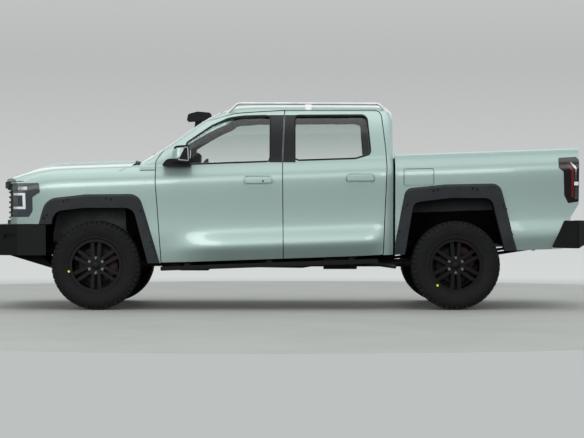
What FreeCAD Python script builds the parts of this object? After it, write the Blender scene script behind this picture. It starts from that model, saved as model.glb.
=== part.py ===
"""Crew-cab pickup truck with steel bumpers, wide wheel-arch flares and a snorkel, in millimetres.

The truck faces -X, its left side faces -Y, and +Z is up. The origin is on the ground, in the middle of
the truck's length and width. Body lines climb towards the tail: a height "on the body" is measured from
a datum that rises by rake_share along +X.
"""
import functools
import math
import os

import FreeCAD, Part
import Sketcher

Vector = FreeCAD.Vector
X_AXIS = Vector(1, 0, 0)
Y_AXIS = Vector(0, 1, 0)
Z_AXIS = Vector(0, 0, 1)

# Driving dimensions: alias, value, meaning.
SIZES = [
    ("wheelbase", 3350, "front axle to rear axle"),
    ("front_overhang", 1095, "front axle to the front of the bumper"),
    ("rear_overhang", 1255, "rear axle to the back of the bumper"),
    ("track_width", 1680, "between the middles of left and right tyres"),
    ("body_half_width", 965, "centre plane to the shoulder of the doors"),
    ("cut_overrun", 60, "how far every cutting solid runs past what it cuts"),
    # Wheels
    ("tyre_radius", 414, "tyre, to the tops of the tread blocks"),
    ("tyre_width", 275, "tyre across its side walls"),
    ("bead_radius", 229, "18 inch rim, where the tyre's bead sits"),
    ("flange_radius", 244, "rim over its flanges"),
    ("rim_width", 222, "rim across its flanges"),
    ("rim_wall", 9, "thickness of the rim's barrel"),
    ("spoke_thickness", 34, "spoke along the axle"),
    ("spoke_width", 27, "spoke across, halfway out"),
    ("wheel_face_inset", 34, "from the outer flange in to the face of the spokes"),
    ("hub_radius", 86, "wheel centre that takes the nuts"),
    ("nut_circle", 139.7, "pitch circle of the wheel nuts"),
    ("nut_radius", 10, "wheel nut"),
    ("nut_length", 24, "wheel nut, out of the wheel's face"),
    ("hub_bore", 32, "radius of the bore that turns on the stub axle"),
    ("running_clearance", 0.05, "between a shaft and what turns on it"),
    ("disc_radius", 170, "brake disc"),
    ("disc_thickness", 30, "brake disc"),
    ("disc_offset", 62, "brake disc, inboard of the wheel's middle"),
    ("kingpin_radius", 13, "pins of a steering knuckle"),
    ("kingpin_eye", 26, "eye of a suspension arm round its pin"),
    ("knuckle_half_height", 130, "steering knuckle above and below the axle"),
    ("arm_thickness", 26, "front suspension arm"),
    ("kingpin_inset", 110, "steering axis, inboard of the tyre's middle"),
    # Body, as heights on the body at the middle of the truck
    ("rake_share", 0.035, "rise of the body lines for each unit of length"),
    ("sill_height", 477, "bottom edge of the doors"),
    ("belt_height", 1380, "bottom edge of the side windows"),
    ("bed_ledge_share", 0.4, "how much of the doors' lower ledge comes back behind the rear wheel"),
    ("side_depth", 70, "how far the side's waves reach in from its widest line"),
    ("roof_height", 1945, "middle of the roof above the ground"),
    ("roof_crown", 30, "fall of the roof from its middle to its edge"),
    ("tumblehome_share", 0.30, "lean of the side windows, inwards for each unit of height"),
    ("belt_step", 6, "side window surface, inboard of the belt line"),
    ("front_door_setback", 555, "front axle to the front edge of the door"),
    ("cab_length", 2150, "front edge of the front door to the rear edge of the rear door"),
    ("door_height", 1396, "door with its window frame"),
    ("cab_tail", 63, "rear edge of the rear door to the back of the cab"),
    ("cowl_reach", 145, "foot of the windscreen, ahead of the door's front edge"),
    ("cowl_height", 1405, "foot of the windscreen above the ground"),
    ("screen_slope_share", 0.72, "rise of the windscreen for each unit of length"),
    ("screen_blend", 170, "height over which the windscreen turns into the roof"),
    ("wall_thickness", 150, "cab side wall below the windows, with its door"),
    ("frame_thickness", 88, "cab side wall beside the windows, with its door"),
    ("roof_thickness", 62, "roof with its lining"),
    ("floor_lift", 190, "cab floor above the bottom edge of the doors"),
    ("bulkhead_thickness", 55, "front and back walls of the cab"),
    ("door_thickness", 92, "door below its window"),
    ("door_frame_thickness", 44, "door beside its window"),
    ("door_gap", 8, "shut line round a door"),
    ("door_lip", 12, "thickness of the door's outer edge"),
    ("door_setback", 22, "how far the inner part of a door stands back from its outer edge"),
    ("flange_gap", 12, "between a closed door's inner face and the cab's flange"),
    ("seal_height", 6, "door seal, out of the cab's flange"),
    ("seal_width", 14, "door seal, across"),
    ("seal_gap", 9, "between the cab and the inner panel of a wing"),
    ("handle_length", 264, "cup of a door handle"),
    ("handle_height", 72, "cup of a door handle"),
    ("handle_reach", 26, "how far a handle's bar stands out of the door"),
    ("pillar_width", 46, "windscreen pillar between the glass and the front door"),
    ("door_flange", 52, "cab frame that shows inside the shut line"),
    ("glass_thickness", 5, "window glass"),
    ("glass_depth", 14, "glass, in from the outer surface"),
    ("glass_clearance", 0.3, "between a pane and its frame"),
    # Nose
    ("nose_reach", 945, "front axle to the middle of the grille panel"),
    ("nose_radius", 1950, "curve of the nose seen from above"),
    ("nose_taper", 70, "how far the front wings narrow at the nose"),
    ("nose_taper_length", 600, "length over which the wings narrow"),
    ("nose_drop", 90, "fall of the bonnet at the nose"),
    ("nose_drop_length", 450, "length over which the bonnet falls"),
    ("wing_edge_height", 1348, "shut line between wing and bonnet, on the body"),
    ("bonnet_lip_height", 1200, "front edge of the bonnet above the ground"),
    ("bonnet_height", 1436, "middle of the bonnet, on the body"),
    ("bonnet_bulge", 24, "raised centre of the bonnet"),
    ("bonnet_thickness", 30, "bonnet with its inner frame"),
    ("bonnet_rear", 78, "foot of the windscreen to the rear edge of the bonnet"),
    ("wing_thickness", 42, "front wing with its inner panel"),
    ("panel_gap", 6, "shut line between body panels"),
    ("lamp_depth", 110, "headlamp, front to back"),
    ("lamp_inner", 640, "inner edge of a headlamp, from the centre plane"),
    ("grille_depth", 50, "grille, front to back"),
    ("grille_bar", 16, "height of a grille bar"),
    ("grille_bars", 6, "number of grille bars"),
    ("grille_rim", 36, "frame round the grille"),
    # Bed
    ("bed_gap", 19, "between the cab and the bed"),
    ("bed_length", 1706, "bed over its outer panels"),
    ("rail_height", 1410, "top of the bed's side, on the body"),
    ("rail_width", 150, "top rail of the bed, seen from above"),
    ("bed_wall", 64, "side wall of the bed below its rail"),
    ("bed_floor_height", 905, "top of the bed floor, on the body"),
    ("bed_floor_thickness", 42, "ribbed bed floor"),
    ("bed_rib_depth", 12, "ribs of the bed floor"),
    ("bed_rib_pitch", 110, "spacing of the bed ribs"),
    ("bed_liner", 14, "inner walls of the bed"),
    ("wheelhouse_half_width", 560, "inner face of a wheel house from the centre plane"),
    ("wheelhouse_radius", 560, "wheel house round the axle, outside"),
    ("wheelhouse_wall", 14, "sheet of a wheel house"),
    ("tailgate_thickness", 62, "tailgate"),
    ("tailgate_half_width", 755, "tailgate, from the centre plane"),
    ("tailgate_pin", 8, "radius of the tailgate's hinge pins"),
    ("tailgate_pin_inset", 10, "hinge pins of the tailgate, ahead of its rear face"),
    ("tailgate_pin_length", 18, "hinge pin, in the tailgate and in its post"),
    ("tailgate_lift", 12, "foot of the tailgate above the bed floor's underside"),
    ("tail_lamp_depth", 150, "tail lamp, along the truck"),
    ("tail_lamp_width", 105, "tail lamp, across the truck"),
    ("arch_radius", 548, "wheel arch cut out of the body sides"),
    # Flares
    ("flare_reach", 44, "how far a flare stands out of the body side"),
    ("flare_slope", 46, "width of a flare's sloped outer band"),
    ("flare_lip", 34, "flare, in behind the body side"),
    ("liner_thickness", 5, "wheel arch liner"),
    ("liner_foot", 490, "lower edge of the liners behind the wheels, above the ground"),
    # Bumpers and steps
    ("bumper_half_width", 958, "steel bumper, from the centre plane"),
    ("bumper_height", 285, "front bumper"),
    ("bumper_bottom", 508, "underside of the front bumper above the ground"),
    ("bumper_wall", 40, "folded steel of the bumpers, with its stiffeners"),
    ("bumper_wing_end", 462, "front axle to the rear edge of the bumper's wing"),
    ("steer_clearance", 24, "round the steered tyre's swept circle"),
    ("rear_bumper_height", 255, "rear bumper"),
    ("rear_bumper_bottom", 572, "underside of the rear bumper above the ground"),
    ("rear_bumper_depth", 225, "rear bumper, along the truck, at its ends"),
    ("step_width", 150, "side step"),
    ("step_height", 52, "side step"),
    # Chassis
    ("rail_half_gap", 350, "centre plane to the inner face of a frame rail"),
    ("rail_thickness", 70, "frame rail, across"),
    ("rail_depth", 128, "frame rail, up and down"),
    ("rail_base", 442, "underside of the frame rails in the middle of the truck"),
    ("crossmember_radius", 38, "tubular crossmember"),
    ("axle_tube_radius", 46, "rear axle tube"),
    ("diff_radius", 135, "rear axle differential"),
    ("shaft_radius", 38, "propeller shaft"),
    ("spring_half_gap", 515, "centre plane to the middle of a leaf spring"),
    ("spring_width", 62, "leaf spring"),
    ("leaf_thickness", 9, "one leaf"),
]

doc = FreeCAD.newDocument("pickup")
sheet = doc.addObject("Spreadsheet::Sheet", "Sizes")
for row, (alias, value, meaning) in enumerate(SIZES, 1):
    sheet.set(f"A{row}", alias)
    sheet.set(f"B{row}", str(value))
    sheet.set(f"C{row}", meaning)
    sheet.setAlias(f"B{row}", alias)
doc.recompute()


class Named:
    """The sheet's cells as attributes, with what follows from them."""

    def __getattr__(self, alias):
        return float(sheet.get(alias))


s = Named()
s.length = s.wheelbase + s.front_overhang + s.rear_overhang
s.front_x = -s.length / 2
s.rear_x = s.length / 2
s.front_axle_x = s.front_x + s.front_overhang
s.rear_axle_x = s.front_axle_x + s.wheelbase
s.door_front_x = s.front_axle_x + s.front_door_setback
s.door_rear_x = s.door_front_x + s.cab_length
s.cab_rear_x = s.door_rear_x + s.cab_tail
s.cowl_x = s.door_front_x - s.cowl_reach
s.nose_x = s.front_axle_x - s.nose_reach
s.bonnet_rear_x = s.cowl_x - s.bonnet_rear
s.bed_front_x = s.cab_rear_x + s.bed_gap
s.bed_rear_x = s.bed_front_x + s.bed_length
s.side_height = s.belt_height - s.sill_height
s.kingpin_y = s.track_width / 2 - s.kingpin_inset
s.tyre_outer_y = s.track_width / 2 + s.tyre_width / 2
s.far = s.length
s.sides = (("left", -1), ("right", 1))

nodes = {}


def keep(label, obj):
    """Names an object as the sub-part of that label."""
    obj.Label = label
    nodes[label] = obj
    return obj


def shape_node(label, shape):
    """A sub-part whose shape comes from surfaces and booleans."""
    obj = doc.addObject("Part::Feature", label)
    obj.Shape = shape
    return keep(label, obj)


def pair(shape):
    """A left-hand shape with its mirror image on the right."""
    return Part.Compound([shape, shape.mirror(Vector(), Y_AXIS)])


def one_solid(shape):
    """The largest solid of a boolean's result, without its seams."""
    solids = sorted(shape.Solids, key=lambda solid: solid.Volume)
    return solids[-1]


def on_body(x, height):
    """Height above the ground of a height on the body, at station x."""
    return height + s.rake_share * x


# Outlines


def offset_outline(corners, distance):
    """Moves an outline of (u, v, radius) outwards; a negative distance moves it inwards."""
    count = len(corners)
    area = sum(
        corners[i][0] * corners[(i + 1) % count][1] - corners[(i + 1) % count][0] * corners[i][1]
        for i in range(count)
    )
    turn = 1 if area > 0 else -1
    moved = []
    for i in range(count):
        (au, av), (bu, bv), (cu, cv) = (corners[(i + k) % count][:2] for k in (-1, 0, 1))
        first = Vector(bu - au, bv - av, 0).normalize()
        second = Vector(cu - bu, cv - bv, 0).normalize()
        normal_1 = Vector(first.y, -first.x, 0) * turn
        normal_2 = Vector(second.y, -second.x, 0) * turn
        bisector = normal_1 + normal_2
        step = bisector * (2 * distance / bisector.dot(bisector))
        convex = first.cross(second).z * turn > 0
        radius = corners[i][2] + distance if convex else corners[i][2] - distance
        moved.append((bu + step.x, bv + step.y, max(radius, 0) if corners[i][2] else 0))
    return moved


def rounded_wire(corners, place):
    """A closed wire through (u, v, radius) corners, each rounded by an arc where it has a radius."""
    count = len(corners)
    runs = []
    for i in range(count):
        before, here, after = (Vector(*corners[(i + k) % count][:2], 0) for k in (-1, 0, 1))
        radius = corners[i][2]
        back = (before - here).normalize()
        ahead = (after - here).normalize()
        angle = back.getAngle(ahead)
        if radius <= 0 or angle > math.pi - 1e-3:
            runs.append((here, here, here))
            continue
        reach = radius / math.tan(angle / 2)
        centre = here + (back + ahead).normalize() * (radius / math.sin(angle / 2))
        middle = centre + (here - centre).normalize() * radius
        runs.append((here + back * reach, middle, here + ahead * reach))
    edges = []
    for i, (start, middle, end) in enumerate(runs):
        if not start.isEqual(end, 1e-6):
            edges.append(Part.Arc(place(start), place(middle), place(end)).toShape())
        following = runs[(i + 1) % count][0]
        if not end.isEqual(following, 1e-6):
            edges.append(Part.LineSegment(place(end), place(following)).toShape())
    return Part.Wire(edges)


def prism_xz(corners, low, high):
    """An outline seen from the side, run across the truck from y = low to y = high."""
    face = Part.Face(rounded_wire(corners, lambda p: Vector(p.x, low, p.y)))
    return face.extrude(Y_AXIS * (high - low))


def prism_xy(corners, low, high):
    """An outline seen from above, run up from z = low to z = high."""
    face = Part.Face(rounded_wire(corners, lambda p: Vector(p.x, p.y, low)))
    return face.extrude(Z_AXIS * (high - low))


def prism_yz(corners, low, high):
    """An outline seen from the front, run along the truck from x = low to x = high."""
    face = Part.Face(rounded_wire(corners, lambda p: Vector(low, p.x, p.y)))
    return face.extrude(X_AXIS * (high - low))


def box(x0, x1, y0, y1, z0, z1):
    """A box between two corners."""
    return Part.makeBox(x1 - x0, y1 - y0, z1 - z0, Vector(x0, y0, z0))


def rod(start, end, radius):
    """A round bar from start to end."""
    return Part.makeCylinder(radius, (end - start).Length, start, end - start)


def bent_tube(points, radius, bend):
    """A round tube along straight runs joined by arcs of one bend radius."""
    edges = []
    here = points[0]
    for i in range(1, len(points) - 1):
        corner = points[i]
        back = (points[i - 1] - corner).normalize()
        ahead = (points[i + 1] - corner).normalize()
        angle = back.getAngle(ahead)
        reach = bend / math.tan(angle / 2)
        centre = corner + (back + ahead).normalize() * (bend / math.sin(angle / 2))
        middle = centre + (corner - centre).normalize() * bend
        start = corner + back * reach
        edges.append(Part.LineSegment(here, start).toShape())
        here = corner + ahead * reach
        edges.append(Part.Arc(start, middle, here).toShape())
    edges.append(Part.LineSegment(here, points[-1]).toShape())
    path = Part.Wire(edges)
    ring = Part.Wire(Part.makeCircle(radius, points[0], points[1] - points[0]))
    return path.makePipeShell([ring], True, False)


# Parametric bodies and primitives


def value_of(expression):
    """What an expression on the sheet comes to."""
    result = sheet.evalExpression(expression)
    return float(getattr(result, "Value", result))


def bind(obj, **expressions):
    """Binds properties to expressions; a double underscore stands for a dot."""
    for name, expression in expressions.items():
        obj.setExpression(name.replace("__", "."), expression)


def outline_sketch(body, role, corners):
    """A closed sketch whose corners are bound to pairs of expressions."""
    plane = next(f for f in body.Origin.OriginFeatures if f.Role == role)
    sketch = body.newObject("Sketcher::SketchObject", "Outline")
    sketch.AttachmentSupport = [(plane, "")]
    sketch.MapMode = "FlatFace"
    points = [Vector(value_of(u), value_of(v), 0) for u, v in corners]
    count = len(points)
    for i in range(count):
        sketch.addGeometry(Part.LineSegment(points[i], points[(i + 1) % count]), False)
    for i in range(count):
        sketch.addConstraint(Sketcher.Constraint("Coincident", i, 2, (i + 1) % count, 1))
    for i, (u, v) in enumerate(corners):
        for kind, number, expression in (("DistanceX", points[i].x, u), ("DistanceY", points[i].y, v)):
            index = sketch.addConstraint(Sketcher.Constraint(kind, -1, 1, i, 1, number))
            sketch.setExpression(f"Constraints[{index}]", expression)
    return sketch


def new_body(label, x="0", y="0", z="0"):
    """An empty body placed by expressions."""
    body = doc.addObject("PartDesign::Body", label)
    bind(body, Placement__Base__x=x, Placement__Base__y=y, Placement__Base__z=z)
    return body


def pad(body, role, corners, length):
    """A pad of an outline, half to each side of its plane."""
    sketch = outline_sketch(body, role, corners)
    feature = body.newObject("PartDesign::Pad", "Pad")
    feature.Profile = sketch
    feature.Midplane = True
    feature.setExpression("Length", length)
    return feature


def turned(body, corners):
    """A full revolution about the body's Y axis of an outline of (radius, place along the axis)."""
    sketch = outline_sketch(body, "XY_Plane", corners)
    feature = body.newObject("PartDesign::Revolution", "Revolution")
    feature.Profile = sketch
    feature.ReferenceAxis = (sketch, ["V_Axis"])
    feature.Angle = 360
    return feature


def primitive(kind, **expressions):
    """A Part primitive with its sizes and place bound to the sheet."""
    obj = doc.addObject(kind, kind.split("::")[1])
    bind(obj, **expressions)
    return obj


def joined(kind, objects):
    """A Part boolean or compound of several objects."""
    obj = doc.addObject(kind, kind.split("::")[1])
    if kind == "Part::Compound":
        obj.Links = objects
    else:
        obj.Shapes = objects
    return obj


def mirrored(obj):
    """The same object on the other side of the truck."""
    other = doc.addObject("Part::Mirroring", "Mirror")
    other.Source = obj
    other.Normal = Y_AXIS
    return other


# Body surfaces

# Side of the body from the sill up to the belt: share of the height, share of side_depth.
FLANK_SHARES = [
    (0.0, 1.0), (0.048, 0.69), (0.097, 0.29), (0.147, 0.03), (0.225, 0.2), (0.286, 0.43),
    (0.33, 0.49), (0.446, 0.43), (0.579, 0.29), (0.701, 0.13), (0.79, 0.03), (0.845, 0.0),
    (0.895, 0.17), (0.939, 0.49), (0.983, 0.74), (1.0, 0.8),
]
# The same places where the lower ledge has faded out.
PLAIN_FOOT_SHARES = [0.9, 0.8, 0.72, 0.66, 0.58, 0.52, 0.49]
# Where the ledge fades in and out, as shares of cab_length from the door's front edge.
LEDGE_FADE_SHARES = (0.06, 0.28, 0.955, 1.0)
# Side window surface: shares of the way up to the roof's corner, then back from the corner to the middle.
GREENHOUSE_RISE_SHARES = (0.04, 0.16, 0.34, 0.54, 0.73, 0.88, 0.97)
GREENHOUSE_ROOF_SHARES = (0.97, 0.88, 0.74, 0.52, 0.28, 0.12)
CAB_STATION_SHARES = (0.0, 0.03, 0.08, 0.14, 0.2, 0.26, 0.32, 0.38, 0.45, 0.54, 0.65, 0.76, 0.86, 0.93, 0.97, 0.985, 1.0)
# Bonnet from its shut line to the middle: share of the half width, share of the rise.
BONNET_SHARES = [
    (0.945, 0.0), (0.915, 0.3), (0.86, 0.5), (0.76, 0.66), (0.62, 0.8), (0.52, 0.86), (0.47, 0.88),
    (0.43, 0.9), (0.38, 0.93), (0.2, 0.98),
]
BULGE_WIDTH_SHARE = 0.44
BULGE_LENGTH_SHARES = (0.18, 0.3)


def smooth(value, low, high):
    """0 below low, 1 above high, and a soft step between."""
    share = min(max((value - low) / (high - low), 0), 1)
    return share * share * (3 - 2 * share)


def smooth_min(a, b, blend):
    """The lower of a and b, with a rounded change from one to the other."""
    share = max(blend - abs(a - b), 0) / blend
    return min(a, b) - share * share * blend / 4


def half_width(x):
    """Widest half width of the body at station x."""
    ahead = max(s.front_axle_x + s.arch_radius / 4 - s.nose_taper_length / 2 - x, 0)
    return s.body_half_width - s.nose_taper * (ahead / s.nose_taper_length) ** 2


def flank(x):
    """(half width, height) up the side of the body at station x, from the sill to the belt."""
    fade_in, full, full_end, fade_out = (s.door_front_x + share * s.cab_length for share in LEDGE_FADE_SHARES)
    ledge = smooth(x, fade_in, full) * (1 - smooth(x, full_end, fade_out))
    ledge += s.bed_ledge_share * smooth(x, s.rear_axle_x, s.rear_axle_x + s.arch_radius)
    points = []
    for i, (height_share, depth_share) in enumerate(FLANK_SHARES):
        if i < len(PLAIN_FOOT_SHARES):
            depth_share = ledge * depth_share + (1 - ledge) * PLAIN_FOOT_SHARES[i]
        height = s.sill_height + height_share * s.side_height
        points.append((half_width(x) - depth_share * s.side_depth, on_body(x, height)))
    return points


def skin(rows):
    """A smooth face drawn by rows of control points."""
    degree = 3
    count_u, count_v = len(rows), len(rows[0])
    knots_u = list(range(count_u - degree + 1))
    knots_v = list(range(count_v - degree + 1))
    ends = [degree + 1]
    surface = Part.BSplineSurface()
    surface.buildFromPolesMultsKnots(
        rows,
        ends + [1] * (len(knots_u) - 2) + ends,
        ends + [1] * (len(knots_v) - 2) + ends,
        knots_u,
        knots_v,
        False,
        False,
        degree,
        degree,
    )
    return surface.toShape()


def flat_face(edges):
    """A flat face inside a ring of edges."""
    return Part.Face(Part.Wire(Part.__sortEdges__(edges)))


def half_block(section, stations):
    """Left half of a body through half sections of (half width, height), closed on the centre plane."""
    halves = [(x, section(x)) for x in stations]
    rows = [[Vector(x, -half[i][0], half[i][1]) for x, half in halves] for i in range(len(halves[0][1]))]
    face = skin(rows)
    foot, crest = (rows[0][0], rows[0][-1]), (rows[-1][0], rows[-1][-1])
    keel = [Vector(top.x, 0, low.z) for top, low in zip(crest, foot)]

    def rim(a, b):
        middle = [e for e in face.Edges if {0} == {min(p.distanceToPoint(q) > 1e-3 for p in e_ends(e)) for q in (a, b)}]
        return middle[0]

    keel_line = Part.makeLine(*keel)
    drops = [Part.makeLine(top, low) for top, low in zip(crest, keel)]
    sills = [Part.makeLine(low, edge) for low, edge in zip(keel, foot)]
    faces = [
        face,
        flat_face([rim(foot[0], crest[0]), drops[0], sills[0]]),
        flat_face([rim(foot[1], crest[1]), drops[1], sills[1]]),
        flat_face([rim(*crest), drops[0], keel_line, drops[1]]),
        flat_face([rim(*foot), sills[0], keel_line, sills[1]]),
    ]
    shell = Part.Shell(faces)
    shell.sewShape()
    solid = Part.Solid(shell)
    if solid.Volume < 0:
        solid.reverse()
    return solid


def e_ends(edge):
    """End points of an edge."""
    return [vertex.Point for vertex in edge.Vertexes]


def roof_line(x):
    """Height of the windscreen and roof along the middle of the truck."""
    screen = s.cowl_height + s.screen_slope_share * (x - s.cowl_x)
    roof = s.roof_height - s.roof_crown * ((x - s.cab_rear_x * 0.1) / s.cab_length) ** 2
    line = smooth_min(screen, roof, s.screen_blend)
    tail = max(x - (s.cab_rear_x - 1.6 * s.cab_tail), 0) / (1.6 * s.cab_tail)
    return line - s.roof_thickness * tail ** 2.5


def cab_section(x, low, high, top):
    """Half section of the cab, taken in by low under the belt, high beside the windows and top at the roof."""
    tail = max(x - (s.cab_rear_x - s.cab_tail), 0) / s.cab_tail
    pinch = 0.5 * s.cab_tail * tail ** 2
    points = []
    for i, (width, height) in enumerate(flank(x)):
        points.append((width - low - pinch, height))
    belt = on_body(x, s.belt_height)
    base = half_width(x) - s.side_depth * FLANK_SHARES[-1][1] - s.belt_step - high - pinch
    rise = max(roof_line(x) - top - belt, s.belt_step)
    power = 3.0 + 3.2 * smooth(rise, 0, s.roof_height - s.belt_height)
    lean = s.tumblehome_share * rise
    corner = 0.5 ** (1 / power)
    rises = [(share * corner, (1 - (share * corner) ** power) ** (1 / power)) for share in GREENHOUSE_RISE_SHARES]
    roof = [((1 - (share * corner) ** power) ** (1 / power), share * corner) for share in GREENHOUSE_ROOF_SHARES]
    for up, out in rises + roof:
        points.append(((base - lean * up) * out, belt + rise * up - s.roof_crown * (up * out) ** 2))
    points.append((0, points[-1][1]))
    return points


@functools.lru_cache
def cab_block(low=0.0, high=0.0, top=0.0, front=0.0, back=0.0, lift=0.0):
    """The cab as one solid, taken in from its outer surface by the given amounts."""
    start, end = s.cowl_x + front, s.cab_rear_x - back
    stations = [s.cowl_x + share * (s.cab_rear_x - s.cowl_x) for share in CAB_STATION_SHARES]
    solid = half_block(lambda x: cab_section(x, low, high, top), stations)
    if front or back:
        solid = solid.common(box(start, end, -s.far, s.far, 0, s.far))
    if lift:
        rise = s.rake_share * s.far
        foot = prism_xz(
            [(-s.far, s.sill_height + lift - rise, 0), (s.far, s.sill_height + lift + rise, 0), (s.far, s.far, 0), (-s.far, s.far, 0)],
            -s.far,
            s.far,
        )
        solid = solid.common(foot)
    return solid


def bonnet_line(x):
    """How far the bonnet has fallen at station x towards the nose."""
    ahead = max(s.front_axle_x - s.arch_radius * 0.72 - x, 0)
    return s.nose_drop * (ahead / s.nose_drop_length) ** 1.6


def nose_section(x, side, top):
    """Half section of the front wings and bonnet."""
    points = []
    drop = bonnet_line(x)
    for i, (width, height) in enumerate(flank(x)[:-2]):
        share = smooth(FLANK_SHARES[i][0], 0.5, 0.94)
        points.append((width - side, height - drop * share))
    bulge = s.bonnet_bulge * smooth(
        x, s.nose_x + BULGE_LENGTH_SHARES[0] * s.nose_reach, s.nose_x + BULGE_LENGTH_SHARES[1] * s.nose_reach * 2
    )
    rise = s.bonnet_height - s.wing_edge_height
    for width_share, rise_share in BONNET_SHARES:
        height = s.wing_edge_height + rise * rise_share - drop - top
        if width_share < BULGE_WIDTH_SHARE:
            height += bulge
        width = half_width(x) * width_share - side * smooth(width_share, 0.5, 0.9)
        points.append((width, on_body(x, height)))
    points.append((0, points[-1][1]))
    return points


@functools.lru_cache
def nose_block(side=0.0, top=0.0, front=0.0):
    """Wings, bonnet and nose as one solid, taken in from its outer surface."""
    start = s.nose_x - s.cut_overrun
    end = s.door_front_x + 2 * s.cut_overrun
    steps = 15
    stations = [start + (end - start) * i / steps for i in range(steps + 1)]
    solid = half_block(lambda x: nose_section(x, side, top), stations)
    curve = Part.makeCylinder(s.nose_radius - front, s.far, Vector(s.nose_x + s.nose_radius, 0, 0), Z_AXIS)
    return solid.common(curve)


def above(height):
    """Everything above a height on the body."""
    rise = s.rake_share * s.far
    low, high = height - rise, height + rise
    return prism_xz([(-s.far, low, 0), (s.far, high, 0), (s.far, s.far, 0), (-s.far, s.far, 0)], -s.far, s.far)


# Side panels: shares of cab_length behind the front door's edge, shares of door_height above the sill.
FRONT_DOOR_SHARES = [
    (0.024, 0.0, 0), (0.0, 0.541, 0), (0.0005, 0.681, 50), (0.044, 0.782, 250), (0.163, 0.915, 500),
    (0.335, 0.988, 600), (0.559, 1.0, 0), (0.55, 0.662, 0), (0.5535, -0.014, 0),
]
REAR_DOOR_SHARES = [
    (0.5535, -0.014, 0), (0.55, 0.662, 0), (0.559, 1.0, 0), (0.979, 0.977, 70), (0.998, 0.709, 0),
    (1.002, 0.583, 0), (0.9865, 0.0, 20),
]
FRONT_WINDOW_SHARES = [
    (0.137, 0.658, 0), (0.137, 0.795, 20), (0.242, 0.902, 300), (0.316, 0.951, 200), (0.381, 0.9615, 300),
    (0.493, 0.959, 12), (0.493, 0.658, 12),
]
REAR_WINDOW_SHARES = [
    (0.607, 0.6585, 12), (0.607, 0.954, 12), (0.914, 0.94, 50), (0.928, 0.699, 30), (0.923, 0.681, 0),
    (0.867, 0.658, 100),
]
# Each door's name, outline, window and the middle of its handle.
DOORS = [
    ("door_front", FRONT_DOOR_SHARES, FRONT_WINDOW_SHARES, (0.445, 0.526)),
    ("door_rear", REAR_DOOR_SHARES, REAR_WINDOW_SHARES, (0.886, 0.517)),
]


def on_side(shares):
    """Turns shares of the door panel into an outline of (x, z, radius)."""
    corners = []
    for along, up, radius in shares:
        x = s.door_front_x + along * s.cab_length
        corners.append((x, on_body(x, s.sill_height + up * s.door_height), radius))
    return corners


def left_prism(corners, grow=0.0):
    """An outline on the left side, grown by an amount, run from outside the truck to its middle."""
    return prism_xz(offset_outline(corners, grow), -s.far, -s.cut_overrun)


def shared(outer, inner, outline, grow=0.0):
    """Layer between two blocks inside the left prism of an outline, outside the windscreen pillars.

    A boolean that comes back empty is tried again with an outline a hair wider.
    """
    for nudge in (0.0, 0.1, 0.2, -0.1, -0.2):
        prism = left_prism(outline, grow + nudge * s.panel_gap)
        part = outer.common(prism.cut(pillar_zone(grow)))
        if part.Solids:
            return part.cut(inner)
    raise RuntimeError("a panel outline misses its block")


def ahead_of_door(gap):
    """Everything ahead of the front door's shut line, less a gap."""
    foot, waist = offset_outline(on_side(FRONT_DOOR_SHARES), gap)[:2]
    lean = (foot[0] - waist[0]) / (waist[1] - foot[1])
    corners = [(-s.far, 0, 0), (foot[0] + lean * foot[1], 0, 0), (waist[0], waist[1], 0), (waist[0], s.far, 0), (-s.far, s.far, 0)]
    return prism_xz(corners, -s.far, s.far)


def both_sides(half):
    """A left half that meets the centre plane, joined to its mirror image."""
    return one_solid(half.fuse(half.mirror(Vector(), Y_AXIS)))


def windscreen_outline():
    """The windscreen's opening seen from above."""
    foot = s.cowl_x + s.screen_blend * 0.36
    top = s.cowl_x + s.screen_blend * 4.9
    low, high = s.body_half_width * 0.755, s.body_half_width * 0.62
    corner = s.screen_blend * 0.36
    half = [(foot, 0, 0), (foot + corner * 0.7, low, corner), (top, high, corner), (top - corner * 0.4, 0, 0)]
    return half[:3] + [half[3]] + [(half[2][0], -high, corner), (half[1][0], -low, corner)]


def pillar_zone(gap=0.0):
    """The windscreen with its pillars, seen from above and run upwards; the doors stay outside it."""
    front, *rest = offset_outline(windscreen_outline(), s.pillar_width - gap)
    reach = s.screen_blend
    corners = [(front[0] - reach, front[1], 0)] + rest
    corners[1] = (corners[1][0] - reach, corners[1][1] + reach * 0.2, 0)
    corners[-1] = (corners[-1][0] - reach, corners[-1][1] - reach * 0.2, 0)
    return prism_xy(corners, s.cowl_height - s.roof_thickness, s.far)


def rear_window_outline():
    """The rear window's opening seen from behind."""
    wide, narrow = s.body_half_width * 0.7, s.body_half_width * 0.64
    low = on_body(s.cab_rear_x, s.belt_height) + s.door_flange * 0.4
    high = s.roof_height - s.roof_thickness - s.door_flange
    return [(-wide, low, s.door_flange), (wide, low, s.door_flange), (narrow, high, s.door_flange), (-narrow, high, s.door_flange)]


def steer_zone(z_top):
    """Upright cylinders that hold the steered tyres at any angle, with their clearance."""
    reach = math.hypot(s.tyre_radius, s.tyre_width / 2 + s.kingpin_inset) + s.steer_clearance
    return pair(Part.makeCylinder(reach, z_top, Vector(s.front_axle_x, -s.kingpin_y, 0)))


def inset_cab(depth, frame_depth):
    """The cab taken in below the belt and beside the windows, for a layer on its sides."""
    return cab_block(depth, frame_depth, frame_depth)


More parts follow.
